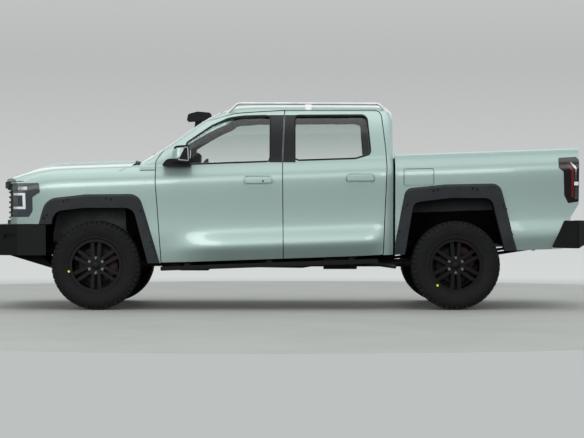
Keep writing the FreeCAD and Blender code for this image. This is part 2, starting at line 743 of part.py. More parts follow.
def cab_shell():
    """Cab body: floor, sills, pillars, roof and bulkheads, open at doors and windows."""
    floor = s.sill_height + s.floor_lift
    inner = cab_block(
        s.wall_thickness, s.frame_thickness, s.roof_thickness, s.bulkhead_thickness, s.bulkhead_thickness, s.floor_lift
    )
    foot_x = s.door_front_x + s.bulkhead_thickness * 0.4
    knee_z = 2 * s.tyre_radius + s.wall_thickness
    inner = inner.cut(box(-s.far, foot_x, -s.far, s.far, 0, knee_z))
    half = cab_block().cut(inner)
    skin_layer = inset_cab(s.door_thickness + s.flange_gap, s.door_frame_thickness + s.flange_gap)
    margin = s.wing_thickness + s.seal_gap
    around = inset_cab(-s.panel_gap, -s.panel_gap)
    nose_ring = nose_block(-s.panel_gap, -s.panel_gap).cut(nose_block(margin, margin))
    tunnel_half = s.body_half_width - s.wall_thickness * 1.5
    under = box(-s.far, s.far, -tunnel_half, s.far, 0, s.far).cut(above(floor - s.bulkhead_thickness * 0.8))
    cutters = [
        under,
        prism_xy(windscreen_outline(), s.cowl_height - s.roof_thickness, s.far),
        prism_yz(rear_window_outline(), 0, s.far),
        box(-s.far, foot_x - s.bulkhead_thickness, -s.far, s.far, 0, knee_z - s.bulkhead_thickness),
        nose_ring.common(ahead_of_door(0)),
    ]
    for name, door, window, handle in DOORS:
        outline = on_side(door)
        cutters.append(shared(around, skin_layer, outline, s.door_gap / 2))
        cutters.append(left_prism(outline, -s.door_flange).common(above(floor)).cut(pillar_zone(-s.door_gap)))
    for cutter in cutters:
        half = one_solid(half.cut(cutter))
    shape_node("cab_shell", both_sides(half))


def with_handle(panel, along, up):
    """A door with the cup and bar of its handle."""
    (x, z, _), = on_side([(along, up, 0)])
    half, tall = s.handle_length / 2, s.handle_height / 2
    cup = [(x - half, z - 1.3 * tall, tall), (x + half, z - 1.3 * tall, tall), (x + half, z + 1.2 * tall, tall), (x - half, z + 1.2 * tall, tall)]
    bar = [
        (x - half * 0.94, z - tall * 0.62, tall * 0.5), (x + half * 0.96, z - tall * 0.56, tall * 0.5),
        (x + half * 0.96, z + tall * 0.52, tall * 0.5), (x - half * 0.94, z + tall * 0.42, tall * 0.45),
    ]
    depth = s.door_lip * 1.4
    cup = left_prism(cup).common(cab_block(-s.door_lip, -s.door_lip).cut(inset_cab(depth, depth)))
    grip = left_prism(bar).common(cab_block(-s.handle_reach, -s.handle_reach).cut(cab_block(-s.handle_reach * 0.2, 0)))
    posts = [
        left_prism([(x + share * half - 14, z - tall * 0.3, 0), (x + share * half + 14, z - tall * 0.3, 0), (x + share * half + 14, z + tall * 0.28, 0), (x + share * half - 14, z + tall * 0.28, 0)]).common(
            cab_block(-s.handle_reach * 0.6, -s.handle_reach * 0.6).cut(inset_cab(depth * 1.2, depth * 1.2))
        )
        for share in (-0.76, 0.8)
    ]
    return one_solid(panel.cut(cup).multiFuse([grip] + posts))


def doors():
    """Four doors with their glass."""
    for name, door, window, handle in DOORS:
        outline = on_side(door)
        opening = on_side(window)
        edge = inset_cab(s.door_lip, s.door_lip)
        lip = shared(cab_block(), edge, outline, -s.door_gap / 2)
        inside = inset_cab(s.door_thickness, s.door_frame_thickness)
        core = shared(edge, inside, outline, -s.door_gap / 2 - s.door_setback)
        panel = with_handle(one_solid(lip.fuse(core).cut(left_prism(opening))), *handle)
        depth = s.glass_depth
        behind = inset_cab(depth + s.glass_thickness, depth + s.glass_thickness)
        pane = one_solid(shared(inset_cab(depth, depth), behind, opening, -s.glass_clearance))
        for side, sign in s.sides:
            flip = (lambda shape: shape) if sign < 0 else (lambda shape: shape.mirror(Vector(), Y_AXIS))
            shape_node(f"{name}_{side}", flip(panel))
            shape_node(f"{name.replace('door', 'glass')}_{side}", flip(pane))


def door_seals():
    """Rubber seals on the cab round the doors' openings, lower beside the hinges, where a door's inner face slides past."""
    inner_depth = s.flange_gap - s.glass_clearance
    low_depth = inner_depth - s.seal_height
    touching = inset_cab(s.door_thickness + s.glass_clearance, s.door_frame_thickness + s.glass_clearance)
    low = inset_cab(s.door_thickness + low_depth, s.door_frame_thickness + low_depth)
    inner = inset_cab(s.door_thickness + inner_depth, s.door_frame_thickness + inner_depth)
    start = -s.door_gap / 2 - s.door_setback
    rings = []
    for name, door, window, handle in DOORS:
        outline = on_side(door)
        front, rear = outline[0][0], outline[-1][0]
        hinge_side = box(-s.far, front + (rear - front) * 0.4, -s.far, 0, 0, s.far).cut(low)
        layer = shared(touching, inner, outline, start).cut(left_prism(outline, start - s.seal_width))
        rings.append(one_solid(layer.cut(hinge_side)))
    shape_node("door_seals", Part.Compound(rings + [ring.mirror(Vector(), Y_AXIS) for ring in rings]))


def fixed_glass():
    """Windscreen and rear window."""
    depth = s.glass_depth
    thick = depth + s.glass_thickness
    layer = inset_cab(depth, depth).cut(inset_cab(thick, thick + s.glass_thickness * 0.3))
    pane = layer.common(prism_xy(offset_outline(windscreen_outline(), -s.glass_clearance), s.cowl_height, s.far))
    screen = both_sides(one_solid(pane))
    x = s.cab_rear_x - depth
    back = prism_yz(offset_outline(rear_window_outline(), -s.glass_clearance), x - s.glass_thickness, x)
    shape_node("fixed_glass", Part.Compound([screen, back]))


# Nose


def bonnet_outline():
    """The bonnet seen from above."""
    front = s.nose_x - s.cut_overrun
    edge = s.body_half_width * 0.945
    nose_edge = (s.body_half_width - s.nose_taper) * 0.945
    bend = s.front_axle_x - s.nose_taper_length * 0.4
    rear = s.bonnet_rear_x
    corner = s.bonnet_rear * 1.4
    half = [(front, nose_edge, 0), (bend, edge, 0), (rear - corner, edge, 40), (rear, edge - corner * 0.6, 60)]
    return half + [(x, -y, r) for x, y, r in reversed(half)]


# Corners of the front and rear wheel openings as shares of tyre_radius from the axle on the ground.
FRONT_ARCH_SHARES = [
    (-1.13, 1.16, 0), (-0.937, 2.217, 110), (-0.24, 2.295, 0), (0.85, 2.295, 100), (1.17, 1.05, 0), (1.2, 0.0, 0), (-1.13, 0.0, 0),
]
FRONT_FLARE_SHARES = [
    (-1.3, 1.884, 20), (-1.135, 2.53, 160), (-0.24, 2.645, 0), (1.01, 2.655, 130), (1.449, 0.966, 0), (1.449, 0.9, 0),
    (1.1, 0.9, 0), (0.5, 1.2, 0), (-0.9, 1.2, 0), (-1.3, 1.62, 0),
]
REAR_ARCH_SHARES = [
    (-1.16, 1.16, 0), (-0.954, 2.415, 70), (-0.12, 2.517, 0), (0.797, 2.512, 80), (1.147, 1.135, 0), (1.2, 0.0, 0), (-1.2, 0.0, 0),
]
REAR_FLARE_SHARES = [
    (-1.413, 1.159, 0), (-1.165, 2.768, 90), (-0.24, 2.865, 0), (1.02, 2.888, 110), (1.42, 1.135, 0), (1.0, 1.135, 0),
    (0.5, 1.4, 0), (-0.5, 1.4, 0), (-1.0, 1.159, 0),
]


def round_axle(shares, axle_x):
    """Turns shares of the tyre's radius round an axle into an outline of (x, z, radius)."""
    return [(axle_x + u * s.tyre_radius, v * s.tyre_radius, radius) for u, v, radius in shares]


def lamp_outline():
    """Headlamp seen from the side, as shares of its block."""
    x = s.nose_x
    return [(x - 60, 1172, 0), (x + 413, 1178, 12), (x + 425, 1096, 20), (x + 352, 1050, 15), (x + 352, 920, 15), (x + 318, 868, 10), (x - 60, 866, 0)]


def bonnet():
    """Bonnet panel with its raised centre."""
    thick = s.bonnet_thickness
    layer = nose_block().cut(nose_block(thick, thick, thick))
    outline = prism_xy(offset_outline(bonnet_outline(), -s.panel_gap / 2), s.bonnet_lip_height, s.far)
    shape_node("bonnet", both_sides(one_solid(layer.common(outline))))


def front_wings():
    """Front wings with the panel under the bonnet's front edge."""
    wall = s.wing_thickness
    body = nose_block().cut(nose_block(wall, wall, wall))
    lid = prism_xy(offset_outline(bonnet_outline(), s.panel_gap / 2), s.bonnet_lip_height - s.panel_gap, s.far)
    arch = prism_xz(offset_outline(round_axle(FRONT_ARCH_SHARES, s.front_axle_x), s.panel_gap * 2), -s.far, s.far)
    low_front = box(-s.far, s.front_axle_x, -s.far, s.far, 0, s.bumper_bottom + s.bumper_height + s.panel_gap)
    half = s.lamp_inner + s.panel_gap
    lamp = prism_xz(offset_outline(lamp_outline(), s.panel_gap / 2), -s.far, -half)
    grille_cut = box(-s.far, s.front_axle_x - s.arch_radius, -half, half, 0, s.bonnet_lip_height)
    cowl_half = s.body_half_width * 0.83
    cowl = box(s.bonnet_rear_x - s.panel_gap, s.far, -cowl_half, s.far, s.cowl_height * 0.7, s.far)
    body = body.cut([lid, arch, low_front, lamp, grille_cut, cowl]).common(ahead_of_door(s.door_gap / 2))
    solids = [solid for solid in body.Solids if solid.Volume > s.wing_thickness ** 3 * 10]
    wings = Part.Compound(solids)
    shape_node("front_wings", wings.fuse(wings.mirror(Vector(), Y_AXIS)))


def cowl_panel():
    """Grille panel at the foot of the windscreen."""
    edge = s.body_half_width * 0.83 - s.glass_clearance
    drop = s.glass_depth
    thick = drop + s.glass_depth
    layer = nose_block(drop, drop).cut(nose_block(thick, thick))
    x0, x1 = s.bonnet_rear_x + s.panel_gap, s.cowl_x + s.screen_blend * 0.3
    reach = box(x0, x1, -edge, s.far, s.cowl_height * 0.7, s.far)
    shape_node("cowl_panel", both_sides(one_solid(layer.common(reach).cut(cab_block(0, 0, -s.glass_clearance)))))


def nose_layer(outer, inner):
    """Layer of the nose between two depths."""
    return nose_block(outer, outer, outer).cut(nose_block(inner, inner, inner))


def grille():
    """Grille frame with its bars."""
    top = s.bonnet_lip_height - s.grille_rim - s.panel_gap / 2
    low = s.bumper_bottom + s.bumper_height + s.panel_gap
    half = s.lamp_inner + s.panel_gap - s.glass_clearance
    rim, reach = s.grille_rim, s.front_axle_x
    frame = nose_layer(s.panel_gap, s.panel_gap + s.grille_depth).common(box(-s.far, reach, -half, s.far, low, top))
    frame = frame.cut(box(-s.far, s.far, -half + rim, s.far, low + rim, top - rim))
    inner = nose_layer(s.panel_gap * 3, s.grille_depth)
    pitch = (top - low - 2 * rim) / s.grille_bars
    bars = []
    for i in range(int(s.grille_bars)):
        z = low + rim + pitch * (i + 0.5) - s.grille_bar / 2
        bars.append(inner.common(box(-s.far, reach, -half + rim * 0.5, s.far, z, z + s.grille_bar)))
    bars.append(inner.common(box(-s.far, reach, -s.grille_bar / 2, s.far, low + rim * 0.5, top - rim * 0.5)))
    trim = nose_layer(-s.grille_bar, s.grille_depth).common(
        box(-s.far, reach, -half, s.far, top - rim * 0.6, s.bonnet_lip_height - s.glass_clearance)
    )
    shape_node("grille", both_sides(one_solid(frame.multiFuse(bars + [trim]))))


def headlamps():
    """Headlamp blocks that wrap round the corners."""
    gap = s.panel_gap / 2
    layer = nose_layer(gap, s.lamp_depth * 0.6)
    lamp = layer.common(prism_xz(lamp_outline(), -s.far, -s.lamp_inner - s.panel_gap))
    lamp = one_solid(lamp)
    shape_node("headlamps", pair(lamp))


# Bed


def bed_section(x, low, top):
    """Half section of the bed's sides, taken in by low and cut down by top."""
    points = [(width - low, height) for width, height in flank(x)]
    edge = points[-1][0]
    high = on_body(x, s.rail_height) - top
    points = [(width, min(height, high - s.glass_depth)) for width, height in points]
    points += [(edge - 4, high - 10), (edge - 14, high - 1), (edge - 30, high), (edge - 70, high), (edge * 0.7, high), (0, high)]
    return points


@functools.lru_cache
def bed_block(low=0.0, top=0.0):
    """The bed as one solid."""
    steps = 6
    stations = [s.bed_front_x + s.bed_length * i / steps for i in range(steps + 1)]
    return half_block(lambda x: bed_section(x, low, top), stations)


def tail_lamp_outline():
    """Tail lamp seen from the side."""
    x = s.bed_rear_x
    return [(x - 188, 1322, 10), (x - 188, 1412, 10), (x - 25, 1421, 20), (x + 60, 1310, 0), (x + 60, 1007, 0), (x - 21, 1007, 0), (x - 98, 995, 12), (x - 134, 1068, 20), (x - 142, 1286, 20)]


def rear_bumper_outline():
    """Rear bumper seen from the side."""
    rear = s.rear_x
    low, high = s.rear_bumper_bottom, s.rear_bumper_bottom + s.rear_bumper_height
    slope = s.rear_bumper_depth * 0.5
    front = rear - s.rear_bumper_depth - slope * 1.15
    return [(front, low + 4, 6), (front + slope, high, 12), (rear, high, 20), (rear, low + 50, 20), (rear - slope, low, 6)]


def fuel_flap_outline():
    """Fuel flap seen from the side."""
    x0, x1 = s.bed_front_x + 79, s.bed_front_x + 357
    z0, z1 = on_body(x0, 1115), on_body(x0, 1275)
    return [(x0, z0, 22), (x1, z0 + 8, 22), (x1, z1, 22), (x0, z1 - 4, 22)]


def bed_sides():
    """Outer sides of the bed with their top rails and corner posts."""
    wall = s.bed_wall
    side = bed_block().cut(bed_block(wall, wall))
    inner_edge = s.body_half_width - s.rail_width
    side = side.common(box(-s.far, s.far, -s.far, -inner_edge, 0, s.far))
    post_x = s.bed_rear_x - s.tail_lamp_depth
    floor = s.bed_floor_height - s.bed_floor_thickness
    post = bed_block(wall / 2, wall / 2).common(
        box(post_x, s.bed_rear_x, -s.far, -s.tailgate_half_width - s.panel_gap, 0, s.far)
    ).common(above(floor))
    side = side.fuse(post)
    arch = prism_xz(offset_outline(round_axle(REAR_ARCH_SHARES, s.rear_axle_x), s.panel_gap * 2), -s.far, 0)
    lamp = prism_xz(offset_outline(tail_lamp_outline(), s.panel_gap / 2), -s.far, -s.body_half_width + s.tail_lamp_width)
    bumper = prism_xz(offset_outline(rear_bumper_outline(), s.panel_gap), -s.far, s.far)
    foot = box(s.rear_axle_x, s.far, -s.far, 0, 0, s.rear_bumper_bottom - 30)
    rear, lamp_foot = s.bed_rear_x, tail_lamp_outline()[4][1]
    notch = prism_xz([(rear, lamp_foot - 20, 0), (rear - 76, lamp_foot - 147, 0), (rear - 132, 0, 0), (s.far, 0, 0), (s.far, lamp_foot - 20, 0)], -s.far, -s.tailgate_half_width - s.bed_wall * 1.6)
    side = one_solid(side.cut([arch, lamp, bumper, foot, notch]))
    pin_z = on_body(s.bed_rear_x, floor) + s.tailgate_lift
    pin_end = -s.tailgate_half_width - s.panel_gap - s.tailgate_pin_length - s.glass_clearance
    pin_x = s.bed_rear_x - s.tailgate_pin_inset
    hole = rod(Vector(pin_x, pin_end, pin_z), Vector(pin_x, 0, pin_z), s.tailgate_pin + s.running_clearance)
    side = side.cut(hole)
    flap_zone = prism_xz(offset_outline(fuel_flap_outline(), s.panel_gap / 2), -s.far, -s.cut_overrun)
    pocket_depth = s.bed_wall * 0.6
    (_, z0, _), (x1, z1, _) = fuel_flap_outline()[0], fuel_flap_outline()[2]
    stop = rod(Vector(x1 - 40, -s.far, (z0 + z1) / 2), Vector(x1 - 40, 0, (z0 + z1) / 2), s.glass_depth * 0.6)
    stop_depth = s.glass_depth * 0.6 + s.glass_clearance
    pocket = flap_zone.cut(bed_block(pocket_depth, pocket_depth)).cut(stop.common(bed_block(stop_depth, stop_depth)))
    left = one_solid(side.cut(pocket))
    flap = bed_block().cut(bed_block(s.glass_depth * 0.6, s.glass_depth * 0.6)).common(
        prism_xz(offset_outline(fuel_flap_outline(), -s.panel_gap / 2), -s.far, -s.cut_overrun)
    )
    shape_node("bed_sides", Part.Compound([left, side.mirror(Vector(), Y_AXIS)]))
    shape_node("fuel_flap", one_solid(flap))
    gap = s.panel_gap / 2
    zone = prism_xz(tail_lamp_outline(), -s.far, -s.body_half_width + s.tail_lamp_width - s.glass_clearance)
    shape_node("tail_lamps", pair(one_solid(bed_block(gap, gap).common(zone))))


def load_bed():
    """Bed floor with inner walls and wheel houses, all one pressing."""
    front, rear = s.bed_front_x + s.panel_gap, s.bed_rear_x - s.tailgate_thickness - s.panel_gap
    wide = s.body_half_width - s.rail_width - s.glass_clearance
    post_x = s.bed_rear_x - s.tail_lamp_depth - s.panel_gap
    low, high = s.bed_floor_height - s.bed_floor_thickness, s.rail_height - s.bed_wall * 0.4

    def band(x0, x1, h0, h1, y0, y1):
        corners = [(x0, on_body(x0, h0), 0), (x1, on_body(x1, h0), 0), (x1, on_body(x1, h1), 0), (x0, on_body(x0, h1), 0)]
        return prism_xz(corners, y0, y1)

    liner = s.bed_liner
    tub = band(front, post_x, low, high, -wide, wide)
    tub = tub.cut(band(front + liner, s.far, s.bed_floor_height, s.far, -wide + liner, wide - liner))
    narrow = s.tailgate_half_width - s.panel_gap
    tub = tub.fuse(band(post_x - liner, rear, low, s.bed_floor_height, -narrow, narrow))
    arch = round_axle(REAR_ARCH_SHARES, s.rear_axle_x)
    margin = s.cut_overrun * 0.5
    outer = prism_xz(offset_outline(arch, margin + s.wheelhouse_wall), -wide, -s.wheelhouse_half_width)
    hollow = prism_xz(offset_outline(arch, margin), -s.far, -s.wheelhouse_half_width - s.wheelhouse_wall)
    keep_zone = above(low)
    for flip in (False, True):
        over, under = outer.common(keep_zone), hollow
        if flip:
            over, under = over.mirror(Vector(), Y_AXIS), under.mirror(Vector(), Y_AXIS)
        tub = tub.fuse(over).cut(under)
    grooves = []
    pitch = s.bed_rib_pitch
    count = int((s.wheelhouse_half_width - pitch / 2) / pitch)
    for i in range(-count, count + 1):
        y = i * pitch
        h = s.bed_floor_height - s.bed_rib_depth
        grooves.append(band(front + 4 * liner, s.far, h, s.far, y - pitch / 4, y + pitch / 4))
    drain = s.bed_floor_height - s.bed_rib_depth / 4
    grooves.append(band(front + liner, front + 2 * liner, drain, s.bed_floor_height, -wide + liner, wide - liner))
    tub = tub.cut(grooves)
    shape_node("load_bed", one_solid(tub))


def tailgate():
    """Tailgate with a shallow panel pressed into it."""
    low = on_body(s.bed_rear_x, s.bed_floor_height - s.bed_floor_thickness) + s.tailgate_lift
    s_low = "Sizes.bed_floor_height - Sizes.bed_floor_thickness + Sizes.tailgate_lift + Sizes.rake_share * (" + BED_REAR + ")"
    high = "Sizes.rail_height - Sizes.panel_gap + Sizes.rake_share * (" + BED_REAR + ")"
    body = new_body("tailgate", BED_REAR + " - Sizes.tailgate_thickness / 2")
    half = "Sizes.tailgate_half_width"
    pad(
        body,
        "YZ_Plane",
        [("-" + half, s_low), (half, s_low), (half, high), ("-" + half, high)],
        "Sizes.tailgate_thickness",
    )
    pins = []
    for side in ("", "-"):
        place = "Sizes.tailgate_half_width + Sizes.panel_gap + Sizes.tailgate_pin_length"
        y = place if side == "" else "-Sizes.tailgate_half_width + Sizes.tailgate_pin_length"
        length = "Sizes.panel_gap + 2 * Sizes.tailgate_pin_length"
        pins.append(across("Sizes.tailgate_pin", length, BED_REAR + " - Sizes.tailgate_pin_inset", y, s_low))
    keep("tailgate", joined("Part::MultiFuse", [body] + pins))


CAB_REAR = (
    "-(Sizes.wheelbase + Sizes.front_overhang + Sizes.rear_overhang) / 2 + Sizes.front_overhang"
    " + Sizes.front_door_setback + Sizes.cab_length + Sizes.cab_tail"
)
BED_REAR = CAB_REAR + " + Sizes.bed_gap + Sizes.bed_length"
FRONT_AXLE = "-(Sizes.wheelbase + Sizes.front_overhang + Sizes.rear_overhang) / 2 + Sizes.front_overhang"
REAR_AXLE = FRONT_AXLE + " + Sizes.wheelbase"
REAR_END = "(Sizes.wheelbase + Sizes.front_overhang + Sizes.rear_overhang) / 2"
BUMPER_BACK = FRONT_AXLE + " - Sizes.front_overhang + 0.75 * Sizes.bumper_height + Sizes.glass_clearance"
REAR_BUMPER_FACE = REAR_END + " - 2.2 * Sizes.bumper_wall - Sizes.glass_clearance"


# Flares, bumpers, steps


def flare(arch, outline, outer, surface, inner, zone):
    """One flare: a band that slopes out from the body to a fold, and a lip that turns in behind the opening."""
    opening = left_prism(arch)
    fold = offset_outline(outline, -s.flare_slope)
    root_y, fold_y = -s.body_half_width + s.flare_slope, -s.body_half_width - s.flare_reach
    root = rounded_wire(outline, lambda p: Vector(p.x, root_y, p.y))
    crest = rounded_wire(fold, lambda p: Vector(p.x, fold_y, p.y))
    wedge = Part.makeLoft([root, crest], True, True)
    band = outer.cut(surface).common(wedge).cut(opening)
    lip = outer.cut(inner).common(left_prism(offset_outline(arch, s.panel_gap * 2 - s.glass_clearance))).cut(opening)
    return one_solid(band.fuse(lip).common(zone))


def arch_flares():
    """Four wheel-arch flares."""
    reach, gap, lip = s.flare_reach, s.glass_clearance, s.flare_lip
    front = flare(
        round_axle(FRONT_ARCH_SHARES, s.front_axle_x),
        round_axle(FRONT_FLARE_SHARES, s.front_axle_x),
        nose_block(-reach, -reach),
        nose_block(-gap, -gap),
        nose_block(lip, lip),
        ahead_of_door(s.door_gap).common(
            box(-s.far, s.far, -s.far, 0, s.bumper_bottom + s.bumper_height + s.panel_gap, s.far).fuse(
                box(s.front_axle_x, s.far, -s.far, 0, s.tyre_radius * 1.03, s.far)
            )
        ),
    )
    rear = flare(
        round_axle(REAR_ARCH_SHARES, s.rear_axle_x),
        round_axle(REAR_FLARE_SHARES, s.rear_axle_x),
        bed_block(-reach, -reach),
        bed_block(-gap, -gap),
        bed_block(lip, lip),
        box(s.bed_front_x, s.far, -s.far, 0, s.tyre_radius * 1.14, s.far),
    )
    halves = [front, rear]
    shape_node("arch_flares", Part.Compound(halves + [half.mirror(Vector(), Y_AXIS) for half in halves]))


def liner_shell(shares, axle_x, depth, zone):
    """A thin shell that follows a wheel arch on the left, inboard of the body side."""
    arch = round_axle(shares, axle_x)
    outer = s.cut_overrun * 0.5 - s.glass_clearance
    shell = left_prism(offset_outline(arch, outer)).cut(left_prism(offset_outline(arch, outer - s.liner_thickness)))
    return shell.common(depth).common(zone)


def arch_liners():
    """Liners of the four wheel arches."""
    edge = s.wing_thickness + s.glass_clearance
    inner_y = s.rail_half_gap + s.rail_thickness + s.cut_overrun
    above_bumper = s.bumper_bottom + s.bumper_height + s.panel_gap
    behind = s.front_axle_x + s.tyre_radius * 0.5
    zone = box(-s.far, s.far, -s.far, -inner_y, above_bumper, s.far)
    zone = zone.fuse(box(behind, s.far, -s.far, -inner_y, s.liner_foot, s.far))
    zone = zone.fuse(box(-s.far, behind, -s.body_half_width * 0.9, -inner_y, s.bumper_bottom * 1.2, s.far))
    front = liner_shell(FRONT_ARCH_SHARES, s.front_axle_x, nose_block(edge, edge, edge), zone)
    edge = s.bed_wall + s.glass_clearance
    wall_y = s.wheelhouse_half_width + s.wheelhouse_wall + s.glass_clearance
    zone = box(-s.far, s.far, -s.far, -wall_y, s.liner_foot, s.far)
    rear = liner_shell(REAR_ARCH_SHARES, s.rear_axle_x, bed_block(edge, edge), zone)
    wall = prism_xz(offset_outline(round_axle(REAR_ARCH_SHARES, s.rear_axle_x), s.cut_overrun * 0.5 - s.glass_clearance), -wall_y - s.liner_thickness, -wall_y)
    low = s.bed_floor_height - s.bed_floor_thickness - s.glass_clearance
    wall = wall.common(box(-s.far, s.far, -s.far, s.far, s.tyre_radius * 1.6, s.far)).cut(above(low))
    rear = one_solid(rear).fuse(one_solid(wall))
    halves = [one_solid(front), one_solid(rear)]
    shape_node("arch_liners", Part.Compound(halves + [half.mirror(Vector(), Y_AXIS) for half in halves]))


def bumper_plan(grow=0.0):
    """Front bumper seen from above."""
    front = s.front_x
    wing = s.front_axle_x - s.bumper_wing_end
    half = s.bumper_half_width
    corner = s.body_half_width * 0.16
    points = [
        (front, 0.62 * half, 60), (front + corner, half * 0.93, 80), (front + 2.4 * corner, half, 60), (wing, half, 6),
        (s.far, half, 0),
    ]
    return offset_outline(points + [(x, -y, r) for x, y, r in reversed(points)], grow)


def front_bumper():
    """Folded steel front bumper with wings round to the wheels."""
    low, high = s.bumper_bottom, s.bumper_bottom + s.bumper_height
    wing = s.front_axle_x - s.bumper_wing_end
    outer = prism_xy(bumper_plan(), low, high)
    inner = prism_xy(bumper_plan(-s.bumper_wall), low + s.bumper_wall, high - s.bumper_wall)
    core = prism_xy(bumper_plan(-s.bumper_height * 0.75), 0, s.far)
    solid = outer.cut(inner).cut(core).cut(box(wing, s.far, -s.far, s.far, 0, s.far)).cut(steer_zone(s.far))
    slot_x, slot_z = s.front_x + s.bumper_height * 0.84, s.bumper_bottom + s.bumper_height * 0.54
    slot = prism_xz([(slot_x, slot_z, 10), (slot_x + 107, slot_z, 10), (slot_x + 107, slot_z + 41, 10), (slot_x, slot_z + 41, 10)], -s.far, s.far)
    solid = solid.cut(slot.cut(prism_xy(bumper_plan(-s.bumper_wall * 0.5), 0, s.far)))
    nose = s.front_x + s.bumper_height * 0.5
    slope = prism_xz(
        [(s.front_x - 10, low + 14, 0), (nose, low - 1, 0), (s.far, low - 1, 0), (s.far, high + 1, 0), (s.front_x + 22, high + 1, 0), (s.front_x - 10, high - 60, 0)],
        -s.far,
        s.far,
    )
    shape_node("front_bumper", one_solid(solid.common(slope)))


def rear_bumper():
    """Folded steel rear bumper."""
    half = s.bumper_half_width
    wall = s.bumper_wall
    solid = prism_xz(rear_bumper_outline(), -half, half)
    corner = half * 0.12
    plan = [(0, -half, 0), (s.rear_x - corner, -half, 40), (s.rear_x, -half + 1.6 * corner, 60), (s.rear_x, half - 1.6 * corner, 60), (s.rear_x - corner, half, 40), (0, half, 0)]
    solid = solid.common(prism_xy(plan, 0, s.far))
    hollow = box(0, s.rear_x - 2.2 * wall, -half + 1.7 * wall, half - 1.7 * wall, 0, s.far)
    shape_node("rear_bumper", one_solid(solid.cut(hollow)))


def skid_plate():
    """Plate under the front of the engine."""
    x0, x1 = s.front_x + 75, s.front_axle_x - s.tyre_radius
    z0, z1 = s.bumper_bottom - s.glass_clearance, s.tyre_radius - 30
    thick = s.leaf_thickness
    outline = [(x0, z0, 0), (x0 + 120, z0, 0), (x1 - 80, z1, 0), (x1, z1, 0), (x1, z1 - thick, 0), (x1 - 80, z1 - thick, 0), (x0 + 120, z0 - thick, 0), (x0, z0 - thick, 0)]
    half = s.rail_half_gap
    plate = prism_xz(outline, -half, half)
    cheek = [(x0 + 110, z0 - thick / 2, 0), (x1 - 190, z0, 0), (x1 - 60, z1, 0), (x1 - 80, z1 - thick / 2, 0)]
    edge = half - s.glass_clearance
    cheeks = [prism_xz(cheek, side * edge, side * (edge - thick)) for _, side in s.sides]
    shape_node("skid_plate", one_solid(plate.multiFuse(cheeks)))


def side_steps():
    """Side steps under the sills, with their brackets."""
    solids = []
    x0, x1 = s.door_front_x + 50, s.door_rear_x - 80
    h1 = s.sill_height - 33
    h0 = h1 - s.step_height * 0.75
    y0 = -s.body_half_width - 10
    y1 = y0 + s.step_width
    corners = [(x0, on_body(x0, h0), 10), (x1, on_body(x1, h0), 10), (x1, on_body(x1, h1), 10), (x0, on_body(x0, h1), 10)]
    board = prism_xz(corners, y0, y1)
    brackets = []
    sill_in = -s.body_half_width + s.wall_thickness * 1.5
    sill_out = -s.body_half_width + s.side_depth + s.door_thickness + s.seal_gap
    for share in (0.12, 0.5, 0.88):
        x = x0 + share * (x1 - x0)
        top = on_body(x - s.step_height / 2, s.sill_height - s.glass_clearance)
        under = top - s.glass_depth
        foot = on_body(x, h1) - s.step_height / 2
        outline = [(y1 - s.step_height, foot, 0), (sill_in, foot, 0), (sill_in, top, 0), (sill_out, top, 0), (sill_out, under, 0), (y1 - s.step_height, under, 0)]
        brackets.append(prism_yz(outline, x - s.step_height / 2, x + s.step_height / 2))
    shape_node("side_steps", pair(one_solid(board.multiFuse(brackets))))


def roof_rails():
    """Roof rails on their feet."""
    rails = []
    x0, x1 = s.door_front_x + 0.32 * s.cab_length, s.cab_rear_x - 0.8 * s.cab_tail
    y = -s.body_half_width * 0.665
    z = roof_line((x0 + x1) / 2) - 18
    points = [Vector(x0 - 60, y, z - 110), Vector(x0 + 70, y, z + 10), Vector(x1 - 70, y, z + 6), Vector(x1 + 40, y, z - 110)]
    bar = bent_tube(points, 13, 60)
    foot = box((x0 + x1) / 2 - 30, (x0 + x1) / 2 + 30, y - 11, y + 11, z - 120, z + 6)
    rail = bar.fuse(foot).cut(cab_block(-s.glass_clearance, -s.glass_clearance, -s.glass_clearance))
    shape_node("roof_rails", pair(one_solid(rail)))


def snorkel():
    """Raised air intake beside the right windscreen pillar, drawn on the left and mirrored."""
    y = -s.body_half_width + 52
    x = s.door_front_x
    path = [
        Vector(x - 330, y - 70, 1130), Vector(x - 190, y - 70, 1240), Vector(x - 110, y - 20, 1400),
        Vector(x + 175, y + 60, 1640), Vector(x + 300, y + 40, 1760), Vector(x + 315, y + 40, 1860),
    ]
    tube = bent_tube(path, 36, 50)
    head = prism_xz(
        [(x + 190, 1838, 20), (x + 450, 1850, 25), (x + 440, 1930, 30), (x + 300, 1942, 30), (x + 205, 1916, 30)], y - 20, y + 100
    )
    gap = s.glass_clearance
    shape = tube.fuse(head).cut(nose_block(-gap, -gap)).cut(cab_block(-gap, -gap, -gap))
    shape_node("snorkel", one_solid(shape).mirror(Vector(), Y_AXIS))


def mirrors():
    """Door mirrors."""
    x = s.door_front_x
    y0 = -s.body_half_width - 175
    head = prism_xz([(x + 150, 1380, 30), (x + 325, 1362, 25), (x + 334, 1500, 30), (x + 300, 1527, 30), (x + 185, 1520, 45)], y0, y0 + 170)
    plan = [(x + 200, y0, 50), (x + 330, y0, 12), (x + 340, y0 + 170, 12), (x + 175, y0 + 170, 30), (x + 145, y0 + 80, 60)]
    head = head.common(prism_xy(plan, 0, s.far))
    foot = prism_xz([(x + 65, 1338, 8), (x + 340, 1335, 8), (x + 325, 1372, 10), (x + 190, 1425, 30), (x + 105, 1392, 20)], y0 + 90, -s.body_half_width + 120)
    gap = s.glass_clearance
    shape = one_solid(head.fuse(foot).cut(cab_block(-gap, -gap)))
    shape_node("mirror_left", shape)
    shape_node("mirror_right", shape.mirror(Vector(), Y_AXIS))


# Chassis


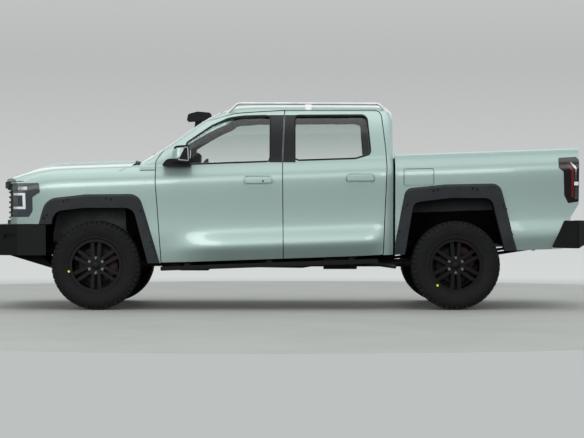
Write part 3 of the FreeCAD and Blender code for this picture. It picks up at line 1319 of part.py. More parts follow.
def frame():
    """Ladder frame."""
    body = new_body("frame")
    outer = "(2 * Sizes.rail_half_gap + 2 * Sizes.rail_thickness)"
    base, depth = "Sizes.rail_base", "Sizes.rail_depth"
    profile = [
        (BUMPER_BACK, 60, 0), (FRONT_AXLE + " - 500", 60, 0), (FRONT_AXLE + " + 480", 0, 0),
        (REAR_AXLE + " - 620", 0, 0), (REAR_AXLE + " - 330", 180, 0), (REAR_AXLE + " + 330", 180, 0),
        (REAR_AXLE + " + 640", 130, 0), (REAR_BUMPER_FACE, 130, 0),
    ]
    low = [(x, f"{base} + {rise}") for x, rise, _ in profile]
    high = [(x, f"{base} + {depth} + {rise}") for x, rise, _ in reversed(profile)]
    pad(body, "XZ_Plane", low + high, outer)
    sketch = outline_sketch(
        body,
        "XZ_Plane",
        [("-3000", "200"), ("3000", "200"), ("3000", "1000"), ("-3000", "1000")],
    )
    cut = body.newObject("PartDesign::Pocket", "Between")
    cut.Profile = sketch
    cut.Midplane = True
    cut.setExpression("Length", "2 * Sizes.rail_half_gap")
    rails = body
    bars = []
    for x, z in (
        (FRONT_AXLE + " - 800", "Sizes.rail_base + 124"),
        ("0", "Sizes.rail_base + 64"), (REAR_AXLE + " - 700", "Sizes.rail_base + 64"),
        (REAR_AXLE + " + 420", "Sizes.rail_base + 215"), (REAR_AXLE + " + 980", "Sizes.rail_base + 190"),
    ):
        bar = primitive(
            "Part::Cylinder",
            Radius="Sizes.crossmember_radius",
            Height="2 * Sizes.rail_half_gap + Sizes.rail_thickness",
            Placement__Base__x=x,
            Placement__Base__y="Sizes.rail_half_gap + Sizes.rail_thickness / 2",
            Placement__Base__z=z,
        )
        bar.Placement.Rotation = FreeCAD.Rotation(X_AXIS, 90)
        bars.append(bar)
    cradle = new_body("cradle", FRONT_AXLE + " + 880")
    reach = "(Sizes.rail_half_gap + Sizes.rail_thickness / 2)"
    foot = "(Sizes.rail_half_gap - 1.3 * Sizes.rail_thickness)"
    low, rim = "Sizes.rail_base - 97", "Sizes.rail_base - 69"
    top = "Sizes.rail_base + 8"
    left = [(reach, top), (foot, low)]
    inner = [(foot + " - 8", rim), (reach + " - 34", top)]
    pad(
        cradle,
        "YZ_Plane",
        [("-" + y, z) for y, z in left] + [(y, z) for y, z in reversed(left)] + [(y, z) for y, z in reversed(inner)]
        + [("-(" + y + ")", z) for y, z in inner],
        "270",
    )
    floor = "Sizes.sill_height + Sizes.floor_lift - 0.8 * Sizes.bulkhead_thickness"
    bed = "Sizes.bed_floor_height - Sizes.bed_floor_thickness"
    mounts = []
    for x, foot, top in (
        (FRONT_AXLE + " + 900", "30", floor), ("500", "30", floor),
        (REAR_AXLE + " - 330", "170", bed), (REAR_AXLE + " + 660", "120", bed),
    ):
        for side in ("", "-"):
            mounts.append(
                primitive(
                    "Part::Cylinder",
                    Radius="Sizes.rail_thickness / 2",
                    Height=f"{top} + Sizes.rake_share * ({x} - Sizes.rail_thickness / 2) - Sizes.glass_clearance"
                    f" - ({base} + {depth} + {foot} - 30)",
                    Placement__Base__x=x,
                    Placement__Base__y=side + "(Sizes.rail_half_gap + Sizes.rail_thickness / 2)",
                    Placement__Base__z=f"{base} + {depth} + {foot} - 30",
                )
            )
    for side, shift in (("", ""), ("-", " - 100")):
        mounts.append(
            primitive(
                "Part::Box",
                Length="80",
                Width="100",
                Height="90",
                Placement__Base__x=FRONT_AXLE + " - 160",
                Placement__Base__y=side + "(Sizes.rail_half_gap - 80 + Sizes.glass_clearance)" + shift,
                Placement__Base__z=base + " + 120",
            )
        )
    keep("frame", joined("Part::MultiFuse", [rails, cradle] + bars + mounts))


def engine():
    """The engine as one plain block."""
    block = primitive(
        "Part::Box",
        Length="720",
        Width="2 * Sizes.rail_half_gap - 160",
        Height="520",
        Placement__Base__x=FRONT_AXLE + " - 480",
        Placement__Base__y="-Sizes.rail_half_gap + 80",
        Placement__Base__z="Sizes.rail_base + 150",
    )
    keep("engine", block)


def along(radius, length, x, y, z):
    """A round bar along the truck."""
    bar = primitive(
        "Part::Cylinder", Radius=radius, Height=length, Placement__Base__x=x, Placement__Base__y=y, Placement__Base__z=z
    )
    bar.Placement.Rotation = FreeCAD.Rotation(Y_AXIS, 90)
    return bar


def across(radius, length, x, y, z):
    """A round bar across the truck, from y towards the left."""
    bar = primitive(
        "Part::Cylinder", Radius=radius, Height=length, Placement__Base__x=x, Placement__Base__y=y, Placement__Base__z=z
    )
    bar.Placement.Rotation = FreeCAD.Rotation(X_AXIS, 90)
    return bar


def driveline():
    """Gearbox and propeller shaft."""
    axle_z = "Sizes.tyre_radius"
    gearbox = along("92", "820", FRONT_AXLE + " + 245", "0", "Sizes.rail_base + 30")
    transfer = primitive(
        "Part::Box", Length="260", Width="300", Height="177", Placement__Base__x=FRONT_AXLE + " + 760",
        Placement__Base__y="-120", Placement__Base__z="Sizes.rail_base - 69 + Sizes.glass_clearance",
    )
    shaft = along("Sizes.shaft_radius", REAR_AXLE + " - Sizes.diff_radius - 1 - (" + FRONT_AXLE + " + 1000)", FRONT_AXLE + " + 1000", "0", axle_z)
    keep("driveline", joined("Part::MultiFuse", [gearbox, transfer, shaft]))


def rear_axle():
    """Live rear axle with its differential, brake calipers and stub ends."""
    axle_z = "Sizes.tyre_radius"
    half = "(Sizes.track_width / 2 - Sizes.disc_offset - Sizes.disc_thickness / 2 - 8)"
    tube = across("Sizes.axle_tube_radius", "2 * " + half, REAR_AXLE, half, axle_z)
    stub_half = "(Sizes.track_width / 2 + Sizes.rim_width / 2 - Sizes.wheel_face_inset - 6)"
    stub = across("Sizes.hub_bore - Sizes.running_clearance", "2 * " + stub_half, REAR_AXLE, stub_half, axle_z)
    diff = primitive("Part::Sphere", Radius="Sizes.diff_radius", Placement__Base__x=REAR_AXLE, Placement__Base__z=axle_z)
    parts = [tube, stub, diff]
    for sign in ("", "-"):
        caliper = primitive(
            "Part::Box", Length="80", Width="20", Height="120", Placement__Base__x=REAR_AXLE + " + 30",
            Placement__Base__y=sign + half + (" - 20" if sign == "" else ""), Placement__Base__z=axle_z + " + 20",
        )
        parts.append(caliper)
    keep("rear_axle", joined("Part::MultiFuse", parts))


def leaf_springs():
    """Rear leaf springs with their hangers."""
    x0, x1 = s.rear_axle_x - 715, s.rear_axle_x + 775
    z0, zm, z1 = 420, s.tyre_radius + s.axle_tube_radius + 8, 556
    thick = s.leaf_thickness
    solids = []
    xm = s.rear_axle_x
    outline = [(x0, z0, 0), (xm - 200, zm, 0), (xm + 200, zm, 0), (x1, z1, 0), (x1, z1 + 2 * thick, 0), (xm + 200, zm + 4 * thick, 0), (xm - 200, zm + 4 * thick, 0), (x0, z0 + 2 * thick, 0)]
    y = -s.spring_half_gap
    half = s.spring_width / 2
    spring = prism_xz(outline, y - half, y + half)
    eye_front = rod(Vector(x0, y - half, z0 + thick), Vector(x0, -s.rail_half_gap - s.rail_thickness - s.glass_clearance, z0 + thick), 26)
    hanger = box(x0 - 60, x0 + 60, y + half - 12, -s.rail_half_gap - s.rail_thickness - s.glass_clearance, z0 - 20, z0 + 120)
    eye_rear = rod(Vector(x1, y - half, z1 + thick), Vector(x1, -s.rail_half_gap - s.rail_thickness - s.glass_clearance, z1 + thick), 22)
    seat = box(xm - 60, xm + 60, y - half, y + half, s.tyre_radius + s.axle_tube_radius + s.glass_clearance, zm + 2)
    shape_node("leaf_springs", pair(one_solid(spring.multiFuse([eye_front, hanger, eye_rear, seat]))))


def exhaust():
    """Exhaust pipe with its silencer."""
    y = -s.spring_half_gap - 50
    z = s.rail_base - 2
    x0 = s.door_front_x + 0.73 * s.cab_length
    can = rod(Vector(x0, y, z), Vector(x0 + 316, y, z), 72)
    front = bent_tube(
        [Vector(s.door_front_x - 120, -190, 560), Vector(s.door_front_x + 40, -190, 404), Vector(s.door_front_x + 500, -200, 404), Vector(x0 - 200, y, 404), Vector(x0 + 20, y, z)],
        25,
        60,
    )
    tail = bent_tube(
        [Vector(x0 + 300, y, z), Vector(x0 + 380, y, z), Vector(s.rear_axle_x - 545, y - 110, z - 40)],
        25,
        60,
    )
    rail_y = -s.rail_half_gap - s.rail_thickness - s.glass_clearance
    hanger = box(x0 + 140, x0 + 170, y + 50, rail_y, z + 5, z + 35)
    shape_node("exhaust", one_solid(can.multiFuse([front, tail, hanger])))


def fuel_tank():
    """Fuel tank on the right of the frame."""
    y0 = s.rail_half_gap + s.rail_thickness + s.glass_clearance
    body = prism_xz([(-260, 400, 30), (760, 400, 30), (760, 590, 30), (-260, 560, 30)], y0, y0 + 290)
    shape_node("fuel_tank", body)


def front_suspension():
    """Front suspension arms, struts, drive shafts and steering rack."""
    x, z = s.front_axle_x, s.tyre_radius
    y0 = -s.rail_half_gap - s.rail_thickness - s.glass_clearance
    pin_y, eye = -s.kingpin_y, s.kingpin_eye
    reach = s.knuckle_half_height + s.panel_gap
    thick = s.arm_thickness
    arms = []
    for spread, z0 in ((170, z - reach - thick), (130, z + reach)):
        plan = [
            (x - spread, y0, 0), (x - spread + 50, y0, 0), (x, y0 - spread * 0.75, 0), (x + spread - 50, y0, 0), (x + spread, y0, 0),
            (x + eye * 0.9, pin_y, 0), (x - eye * 0.9, pin_y, 0),
        ]
        ring = Part.makeCylinder(eye, thick, Vector(x, pin_y, z0))
        arms.append(prism_xy(plan, z0, z0 + thick).fuse(ring))
    shaft = rod(Vector(x, y0 + 10, z), Vector(x, pin_y + 2 * eye, z), 20)
    mount = box(x - 170, x + 170, y0 - 20, y0, z - reach - thick, z + reach + thick)
    left = one_solid(mount.multiFuse(arms + [shaft]))
    left = left.cut(Part.makeCylinder(s.kingpin_radius + s.running_clearance, s.far, Vector(x, pin_y, 0)))
    inner = s.rail_half_gap - s.glass_clearance
    diff = rod(Vector(x, -inner + 20, z - 40), Vector(x, inner - 20, z - 40), 75)
    ears = [box(x - 40, x + 40, y, y + 50, z - 40, z + 110) for y in (-inner, inner - 50)]
    shape_node("front_suspension", Part.Compound([left, left.mirror(Vector(), Y_AXIS), one_solid(diff.multiFuse(ears))]))


def knuckles():
    """Steering knuckles with stub axles and brake calipers."""
    x, z = s.front_axle_x, s.tyre_radius
    y = -s.kingpin_y
    half = s.knuckle_half_height
    upright = box(x - 45, x + 45, y - 24, y + 22, z - half, z + half).cut(box(x - 60, x + 60, y + 8, y + 60, z - half + 24, z + half - 24))
    reach = half + s.panel_gap + s.arm_thickness
    pin = Part.makeCylinder(s.kingpin_radius, 2 * reach, Vector(x, y, z - reach))
    pin = pin.cut(box(x - 60, x + 60, y - 60, y + 60, z - half + 24, z + half - 24))
    stub = rod(
        Vector(x, y, z), Vector(x, -s.track_width / 2 - s.rim_width / 2 + s.wheel_face_inset + 6, z), s.hub_bore - s.running_clearance
    )
    disc_y = -s.track_width / 2 + s.disc_offset
    caliper = box(x + 112, x + 196, disc_y - 34, disc_y + 46, z - 70, z + 70).cut(
        rod(Vector(x, disc_y - 20, z), Vector(x, disc_y + 20, z), s.disc_radius + 5)
    )
    arm = box(x + 20, x + 150, disc_y + 26, disc_y + 46, z - 40, z + 40)
    shape = one_solid(upright.multiFuse([pin, stub, caliper, arm]))
    shape_node("knuckle_left", shape)
    shape_node("knuckle_right", shape.mirror(Vector(), Y_AXIS))


def wheel_bodies():
    """Rim and tyre of the front left wheel, as parametric bodies."""
    rim = new_body("rim")
    half, r = "Sizes.rim_width / 2", "Sizes.bead_radius"
    wall = "Sizes.rim_wall"
    flange = "Sizes.flange_radius"
    turned(
        rim,
        [
            (r + " - " + wall, "-" + half), (flange, "-" + half), (flange, "-" + half + " + " + wall), (r, "-" + half + " + " + wall),
            (r, half + " - " + wall), (flange, half + " - " + wall), (flange, half), (r + " - " + wall, half),
        ],
    )
    face = "Sizes.wheel_face_inset - " + half
    spoke = outline_sketch(
        rim,
        "XZ_Plane",
        [
            ("Sizes.spoke_width * 0.22", "Sizes.hub_radius * 0.6"), ("Sizes.spoke_width * 1.5", "Sizes.hub_radius * 0.6"),
            ("Sizes.spoke_width * 1.9", r + " - " + wall + " * 0.9"), ("Sizes.spoke_width * 0.7", r + " - " + wall + " * 0.55"),
        ],
    )
    spoke.setExpression("AttachmentOffset.Base.z", "-(" + face + " + Sizes.spoke_thickness / 2)")
    arm = rim.newObject("PartDesign::Pad", "Spoke")
    arm.Profile = spoke
    arm.Midplane = True
    arm.setExpression("Length", "Sizes.spoke_thickness")
    twin = rim.newObject("PartDesign::Mirrored", "Twin")
    twin.Originals = [arm]
    twin.MirrorPlane = (spoke, ["V_Axis"])
    multi = rim.newObject("PartDesign::MultiTransform", "Spokes")
    multi.Originals = [arm]
    twin_step = rim.newObject("PartDesign::Mirrored", "TwinStep")
    twin_step.MirrorPlane = (spoke, ["V_Axis"])
    ring_step = rim.newObject("PartDesign::PolarPattern", "RingStep")
    ring_step.Axis = (spoke, ["N_Axis"])
    ring_step.Angle = 360
    ring_step.Occurrences = 6
    multi.Transformations = [twin_step, ring_step]
    rim.removeObject(twin)
    doc.removeObject(twin.Name)
    rim.Tip = multi
    hub = turned(
        rim,
        [
            ("Sizes.hub_bore", face + " + 2"), ("Sizes.hub_radius", face + " + 2"), ("Sizes.hub_radius", face + " + Sizes.spoke_thickness + 20"),
            ("Sizes.hub_bore + 30", "Sizes.disc_offset - Sizes.disc_thickness / 2"), ("Sizes.disc_radius", "Sizes.disc_offset - Sizes.disc_thickness / 2"),
            ("Sizes.disc_radius", "Sizes.disc_offset + Sizes.disc_thickness / 2"), ("Sizes.hub_bore", "Sizes.disc_offset + Sizes.disc_thickness / 2"),
        ],
    )
    rim.Tip = hub
    tyre = new_body("tyre")
    half = "Sizes.tyre_width / 2"
    bead = "Sizes.bead_radius + Sizes.glass_clearance"
    well = "(Sizes.rim_width / 2 - Sizes.rim_wall - Sizes.glass_clearance)"
    above_flange = "Sizes.flange_radius + Sizes.glass_clearance * 4"
    top = "Sizes.tyre_radius"
    left = [
        (bead, "-" + well), (above_flange, "-" + well), (top + " * 0.66", "-" + half + " * 0.93"), (top + " * 0.78", "-" + half),
        (top + " * 0.9", "-" + half + " * 0.95"), (top + " * 0.975", "-" + half + " * 0.86"), (top, "-" + half + " * 0.7"),
    ]
    right = [(radius, across_place[1:] if across_place.startswith("-") else across_place) for radius, across_place in reversed(left)]
    turned(tyre, left + right)
    return rim, tyre


def wheels():
    """The four wheels, each a rim and a tyre."""
    rim, tyre = wheel_bodies()
    for label, body in (("rim", rim), ("tyre", tyre)):
        for end, x in (("front", FRONT_AXLE), ("rear", REAR_AXLE)):
            holder = joined("Part::Compound", [body])
            bind(holder, Placement__Base__x=x, Placement__Base__y="-Sizes.track_width / 2", Placement__Base__z="Sizes.tyre_radius")
            keep(f"{label}_{end}_left", holder)
            keep(f"{label}_{end}_right", mirrored(holder))


# Inside


def seats():
    """Front seats and rear bench."""
    floor = s.sill_height + s.floor_lift + s.glass_clearance
    x = s.door_front_x

    def seat(x0, y0, y1, deep, back_top):
        z = on_body(x0, floor)
        heel = x0 + deep * 0.95
        outline = [(x0, z, 10), (x0 - 10, z + 250, 60), (x0 + deep * 0.72, z + 230, 20), (x0 + deep * 0.92, back_top, 40), (x0 + deep * 1.12, back_top, 40), (heel, on_body(heel, floor), 20)]
        return prism_xz(outline, y0, y1)

    front = [seat(x + 600, y, y + 500, 560, 1400) for y in (-610, 110)]
    shape_node("seats", Part.Compound(front + [seat(x + 1400, -640, 640, 520, 1385)]))


def dash_outline():
    """Dashboard seen from the side."""
    x = s.door_front_x
    return [(x - 60, 1010, 10), (x - 60, 1290, 30), (x + 130, 1310, 40), (x + 240, 1250, 40), (x + 200, 1020, 40)]


def dashboard():
    """Dashboard."""
    gap = 2 * s.glass_clearance
    inner = cab_block(s.wall_thickness + gap, s.frame_thickness + gap, s.roof_thickness + gap)
    shape_node("dashboard", both_sides(one_solid(prism_xz(dash_outline(), -s.far, s.far).common(inner))))


def steering_wheel():
    """Steering wheel on its column."""
    centre = Vector(s.door_front_x + 430, -360, 1240)
    axis = Vector(-1, 0, -0.45)
    axis.normalize()
    ring = Part.makeTorus(182, 13, centre, axis)
    hub = rod(centre, centre + axis * 60, 50)
    side = Y_AXIS * 178
    bar = rod(centre - side + axis * 4, centre + side + axis * 4, 9)
    column = rod(centre + axis * 30, centre + axis * 260, 28)
    column = column.cut(prism_xz(offset_outline(dash_outline(), s.glass_clearance), -s.far, s.far))
    shape_node("steering_wheel", one_solid(ring.multiFuse([hub, bar, one_solid(column)])))


def build():
    """Makes every sub-part, checks it and writes it out."""
    cab_shell()
    doors()
    door_seals()
    fixed_glass()
    bonnet()
    front_wings()
    cowl_panel()
    grille()
    headlamps()
    bed_sides()
    load_bed()
    tailgate()
    arch_flares()
    arch_liners()
    front_bumper()
    rear_bumper()
    skid_plate()
    side_steps()
    roof_rails()
    snorkel()
    mirrors()
    frame()
    engine()
    driveline()
    rear_axle()
    leaf_springs()
    exhaust()
    fuel_tank()
    front_suspension()
    knuckles()
    wheels()
    seats()
    dashboard()
    steering_wheel()
    doc.recompute()
    for obj in doc.Objects:
        if {"Invalid", "Error"} & set(obj.State):
            raise RuntimeError(f"{obj.Name} did not rebuild")
    os.makedirs("parts", exist_ok=True)
    for label, obj in nodes.items():
        if obj.Shape.isNull() or not obj.Shape.isValid():
            raise RuntimeError(f"{label} has no valid shape")
        obj.Shape.exportStep(f"parts/{label}.step")
    print(len(nodes), "sub-parts")


build()
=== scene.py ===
"""Looks of a crew-cab pickup truck: paint, glass, tyres, lamps, trim and cabin, laid out as an add-on."""
import math

import bmesh
import bpy
from mathutils import Matrix, Vector
from mathutils.bvhtree import BVHTree
from mathutils.geometry import delaunay_2d_cdt


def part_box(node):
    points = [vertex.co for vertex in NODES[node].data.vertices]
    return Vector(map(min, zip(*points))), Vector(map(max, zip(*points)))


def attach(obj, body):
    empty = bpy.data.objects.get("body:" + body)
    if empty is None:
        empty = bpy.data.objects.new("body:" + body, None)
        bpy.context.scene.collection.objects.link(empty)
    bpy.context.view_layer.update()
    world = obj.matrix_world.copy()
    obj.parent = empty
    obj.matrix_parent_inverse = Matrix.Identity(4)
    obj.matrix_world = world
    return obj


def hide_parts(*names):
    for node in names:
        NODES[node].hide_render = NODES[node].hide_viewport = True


bl_info = {
    "name": "Pickup truck looks",
    "version": (1, 0, 0),
    "blender": (4, 5, 0),
    "location": "3D View > Sidebar > Truck",
    "description": "Builds finish, tyres, lamps, trim and cabin of a pickup truck on its construction model",
    "category": "Object",
}

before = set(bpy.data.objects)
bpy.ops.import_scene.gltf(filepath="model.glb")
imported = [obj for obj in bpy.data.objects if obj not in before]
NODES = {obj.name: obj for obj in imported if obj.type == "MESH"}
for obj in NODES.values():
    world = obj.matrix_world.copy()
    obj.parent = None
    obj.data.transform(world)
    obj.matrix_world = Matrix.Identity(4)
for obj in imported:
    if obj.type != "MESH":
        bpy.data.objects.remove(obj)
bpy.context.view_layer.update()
SIDES = (("left", -1), ("right", 1))
FRONT_AXLE, REAR_AXLE = -1.755, 1.595
ENDS = (("front", FRONT_AXLE), ("rear", REAR_AXLE))
TRACK = 0.84  # from the middle of the truck to the middle of a wheel
AXLE_HEIGHT = 0.414
TYRE_RADIUS = 0.414
MATERIALS = {}


# Materials


def srgb(code):
    """The linear colour of an sRGB hex code."""
    channels = [int(code[i:i + 2], 16) / 255 for i in (1, 3, 5)]
    return tuple(c / 12.92 if c <= 0.04045 else ((c + 0.055) / 1.055) ** 2.4 for c in channels) + (1.0,)


def add(tree, kind, inputs=(), **settings):
    """Adds a node with its settings, and sets or links its inputs."""
    made = tree.nodes.new("ShaderNode" + kind)
    for name, value in settings.items():
        setattr(made, name, value)
    for name, value in dict(inputs).items():
        if isinstance(value, bpy.types.NodeSocket):
            tree.links.new(value, made.inputs[name])
        else:
            made.inputs[name].default_value = value
    return made


def mixed(tree, share, low, high):
    """One colour where the share is 0, the other where it is 1; colours are sockets or hex codes."""
    low, high = (srgb(c) if isinstance(c, str) else c for c in (low, high))
    return add(tree, "Mix", {0: share, 6: low, 7: high}, data_type="RGBA").outputs[2]


def combined(tree, operation, a, b):
    """The result of a sum, a product or a comparison of two values."""
    return add(tree, "Math", {0: a, 1: b}, operation=operation).outputs[0]


def surface(name, **sockets):
    """A new material with its shader's sockets set; gives its tree, its shader and the place on the piece."""
    material = bpy.data.materials.new(name)
    material.use_nodes = True
    tree = material.node_tree
    shader = tree.nodes["Principled BSDF"]
    for socket, value in sockets.items():
        value = srgb(value) if isinstance(value, str) else value
        shader.inputs[socket.replace("_", " ")].default_value = value
    MATERIALS[name] = material
    return tree, shader, add(tree, "TexCoord").outputs["Object"]


def varied(tree, place, scale, low, high):
    """Noise at a scale in spots per metre, spread between two values or two colours."""
    spots = add(tree, "TexNoise", {"Vector": place, "Scale": scale, "Detail": 2.0})
    ramp = add(tree, "ValToRGB", {"Fac": spots.outputs["Fac"]})
    for element, position, colour in zip(ramp.color_ramp.elements, (0.3, 0.7), (low, high)):
        element.position = position
        element.color = srgb(colour) if isinstance(colour, str) else (colour, colour, colour, 1)
    return ramp.outputs["Color"]


def gradient(tree, value, reach, stops):
    """Colours at stops along a value that runs from -reach to reach."""
    ramp = add(tree, "ValToRGB", {"Fac": add(tree, "MapRange", {0: value, 1: -reach, 2: reach}).outputs[0]})
    for k, (position, code) in enumerate(stops):
        element = ramp.color_ramp.elements[0] if k == 0 else ramp.color_ramp.elements.new(position)
        element.position = position
        element.color = srgb(code)
    return ramp.outputs["Color"]


def relief(tree, shader, height, distance, strength):
    """Raises the surface by a height pattern of that depth in metres."""
    bump = add(tree, "Bump", {"Height": height, "Distance": distance, "Strength": strength})
    tree.links.new(bump.outputs["Normal"], shader.inputs["Normal"])


def grained(name, low, high, rough, grain, depth, **sockets):
    """A moulded or coated surface: two close shades in soft patches, and a grain of that size in metres."""
    tree, shader, place = surface(name, Roughness=rough, **sockets)
    tree.links.new(varied(tree, place, 9, low, high), shader.inputs["Base Color"])
    cells = add(tree, "TexNoise", {"Vector": place, "Scale": 1 / grain, "Detail": 1.0})
    relief(tree, shader, cells.outputs["Fac"], depth, 0.35)


def inward_share(tree, centre):
    """1 on faces that look towards a point inside the cab, 0 on the others."""
    place = add(tree, "TexCoord")
    arm = add(tree, "VectorMath", {0: place.outputs["Object"], 1: centre}, operation="SUBTRACT")
    # The cabin is long, so distances along it count less.
    flat = add(tree, "VectorMath", {0: arm.outputs[0], 1: (0.35, 1, 1)}, operation="MULTIPLY")
    normal = place.outputs["Normal"]
    facing = add(tree, "VectorMath", {0: flat.outputs[0], 1: normal}, operation="DOT_PRODUCT")
    return combined(tree, "LESS_THAN", facing.outputs["Value"], -0.12)


LACQUER = {"Metallic": 0.42, "Roughness": 0.4, "Coat_Weight": 0.8}
LINING = {"Metallic": 0.0, "Roughness": 0.8, "Coat_Weight": 0.0}


def pearl(name, colours):
    """Metallic basecoat under clear lacquer: a soft sheen from flakes, and sharp reflections over it."""
    tree, shader, place = surface(name, Coat_Roughness=0.05, Coat_IOR=1.45, **LACQUER)
    # Real flakes are under 0.1 mm; they are drawn 3 mm wide so that they show as a faint sparkle.
    flakes = add(tree, "TexVoronoi", {"Vector": place, "Scale": 330.0})
    tones = {0: 0.06, 6: colours, 7: flakes.outputs["Color"]}
    return tree, shader, add(tree, "Mix", tones, data_type="RGBA", blend_type="OVERLAY").outputs[2]


def paint_materials(colours):
    """The mint pearl lacquer, alone on panels and with trim inside on the doors and the cab."""
    mint = tuple(colours.paint) + (1,)
    tree, shader, tone = pearl("mint_pearl_lacquer", mint)
    tree.links.new(tone, shader.inputs["Base Color"])
    # The lining is felt above the first height and pile below the second.
    for name, centre, felt_from, pile_below in (
        ("mint_pearl_door", (-0.1, 0.0, 1.2), 3.0, 0.0),
        ("mint_pearl_cab", (-0.1, 0.0, 1.28), 1.84, 0.78),
    ):
        tree, shader, tone = pearl(name, mint)
        inside_share = inward_share(tree, centre)
        place = add(tree, "TexCoord").outputs["Object"]
        # Inside, grained door cards, a felt headliner and floor pile take over from the lacquer.
        height = add(tree, "SeparateXYZ", {0: place}).outputs["Z"]
        card = varied(tree, place, 14, "#202224", "#282A2C")
        felt = varied(tree, place, 400, "#2A2D2E", "#353839")
        pile = varied(tree, place, 300, "#17181A", "#26282A")
        lining = mixed(tree, combined(tree, "GREATER_THAN", height, felt_from), card, felt)
        lining = mixed(tree, combined(tree, "LESS_THAN", height, pile_below), lining, pile)
        tree.links.new(mixed(tree, inside_share, tone, lining), shader.inputs["Base Color"])
        for socket in LACQUER:
            share = add(tree, "MapRange", {0: inside_share, 3: LACQUER[socket], 4: LINING[socket]})
            tree.links.new(share.outputs[0], shader.inputs[socket.replace("_", " ")])


def coated_materials():
    """Plastics, rubber, felt and coated steel: dark, with little shine."""
    # Glass-filled polypropylene, moulded with a leather grain: dark, dull, a little scuffed.
    grained("grained_polypropylene", "#2A2D30", "#323538", 0.62, 0.004, 0.0006, Specular_IOR_Level=0.25)
    # ABS moulded with a fine spark grain, nearly black.
    grained("moulded_abs_black", "#0C0D0E", "#121314", 0.55, 0.003, 0.0004, Specular_IOR_Level=0.22)
    # Piano black acrylic on the window pillars: deep and glossy.
    grained("piano_black_acrylic", "#0E0F12", "#121316", 0.3, 0.02, 0.00002, Specular_IOR_Level=0.4)
    # Zinc-primed steel under textured powder coat: satin with a fine orange peel.
    grained("textured_powder_coat", "#090A0B", "#0E0F10", 0.55, 0.003, 0.0005, Specular_IOR_Level=0.18)
    # Needle-felted polyester of the arch liners: swallows the light.
    grained("needle_felt", "#060606", "#0B0B0B", 0.95, 0.004, 0.001, Specular_IOR_Level=0.05)
    # Chassis paint under a wax film, with road dust in soft patches.
    grained("waxed_chassis_paint", "#070808", "#0F0F0E", 0.65, 0.02, 0.0006, Specular_IOR_Level=0.15)
    # Satin black wheel lacquer: soft highlights on the spokes.
    grained("satin_black_wheel_lacquer", "#040405", "#070708", 0.42, 0.02, 0.0001, Specular_IOR_Level=0.16)
    # Glass-fibre filled nylon of the intake, matte and dark.
    grained("matte_glass_filled_nylon", "#101214", "#17191B", 0.62, 0.003, 0.0004, Specular_IOR_Level=0.22)
    # EPDM seal rubber, extruded, dull black.
    grained("extruded_epdm", "#161718", "#1E1F20", 0.72, 0.003, 0.0002)
    # Polyurea bed liner, sprayed: coarse beads that catch the light.
    grained("sprayed_polyurea_liner", "#26282A", "#303335", 0.7, 0.008, 0.0022)
    # Soft-touch PVC skin of the dashboard, leather grain.
    grained("soft_touch_pvc", "#202224", "#2A2C2E", 0.6, 0.003, 0.0005)
    # Vulcanised tread rubber: dark with a faint bloom; the blocks are left to the mesh.
    grained("vulcanised_rubber", "#0E0F0F", "#141514", 0.8, 0.006, 0.0007, Specular_IOR_Level=0.3)
    # Ceramic frit printed round the fixed windows: matte black.
    grained("ceramic_frit", "#0B0C0D", "#101112", 0.4, 0.01, 0.00005)


def metal_materials():
    """Castings, plated and anodised metal, and silvered glass."""
    # Sand-cast iron with black paint, coarse and dull.
    grained("sand_cast_iron", "#101011", "#1A1918", 0.7, 0.006, 0.001, Metallic=0.3)
    # Cast aluminium of the engine and gearbox, grey and rough.
    grained("cast_aluminium", "#4A4C4E", "#5E6061", 0.6, 0.005, 0.0008, Metallic=0.6)
    # Aluminised steel of the exhaust, heat-stained in brownish patches.
    grained("aluminised_steel", "#37352F", "#57534C", 0.5, 0.05, 0.0004, Metallic=0.7)
    # Satin anodised aluminium, drawn and brushed along its length.
    grained("satin_anodised_aluminium", "#C9CBCC", "#D8DADB", 0.3, 0.01, 0.0001, Metallic=1.0)
    # Zinc-nickel plated nuts and studs.
    grained("zinc_nickel_plate", "#5E6061", "#767879", 0.38, 0.01, 0.0001, Metallic=1.0)
    # Silvered glass of the mirrors.
    grained("silvered_mirror_glass", "#C8CCCE", "#D2D6D8", 0.03, 0.5, 0.00001, Metallic=1.0)
    # Vacuum-metallised reflector behind a lamp cover.
    grained("metallised_reflector", "#B9BDC0", "#D2D5D8", 0.16, 0.03, 0.0003, Metallic=1.0)


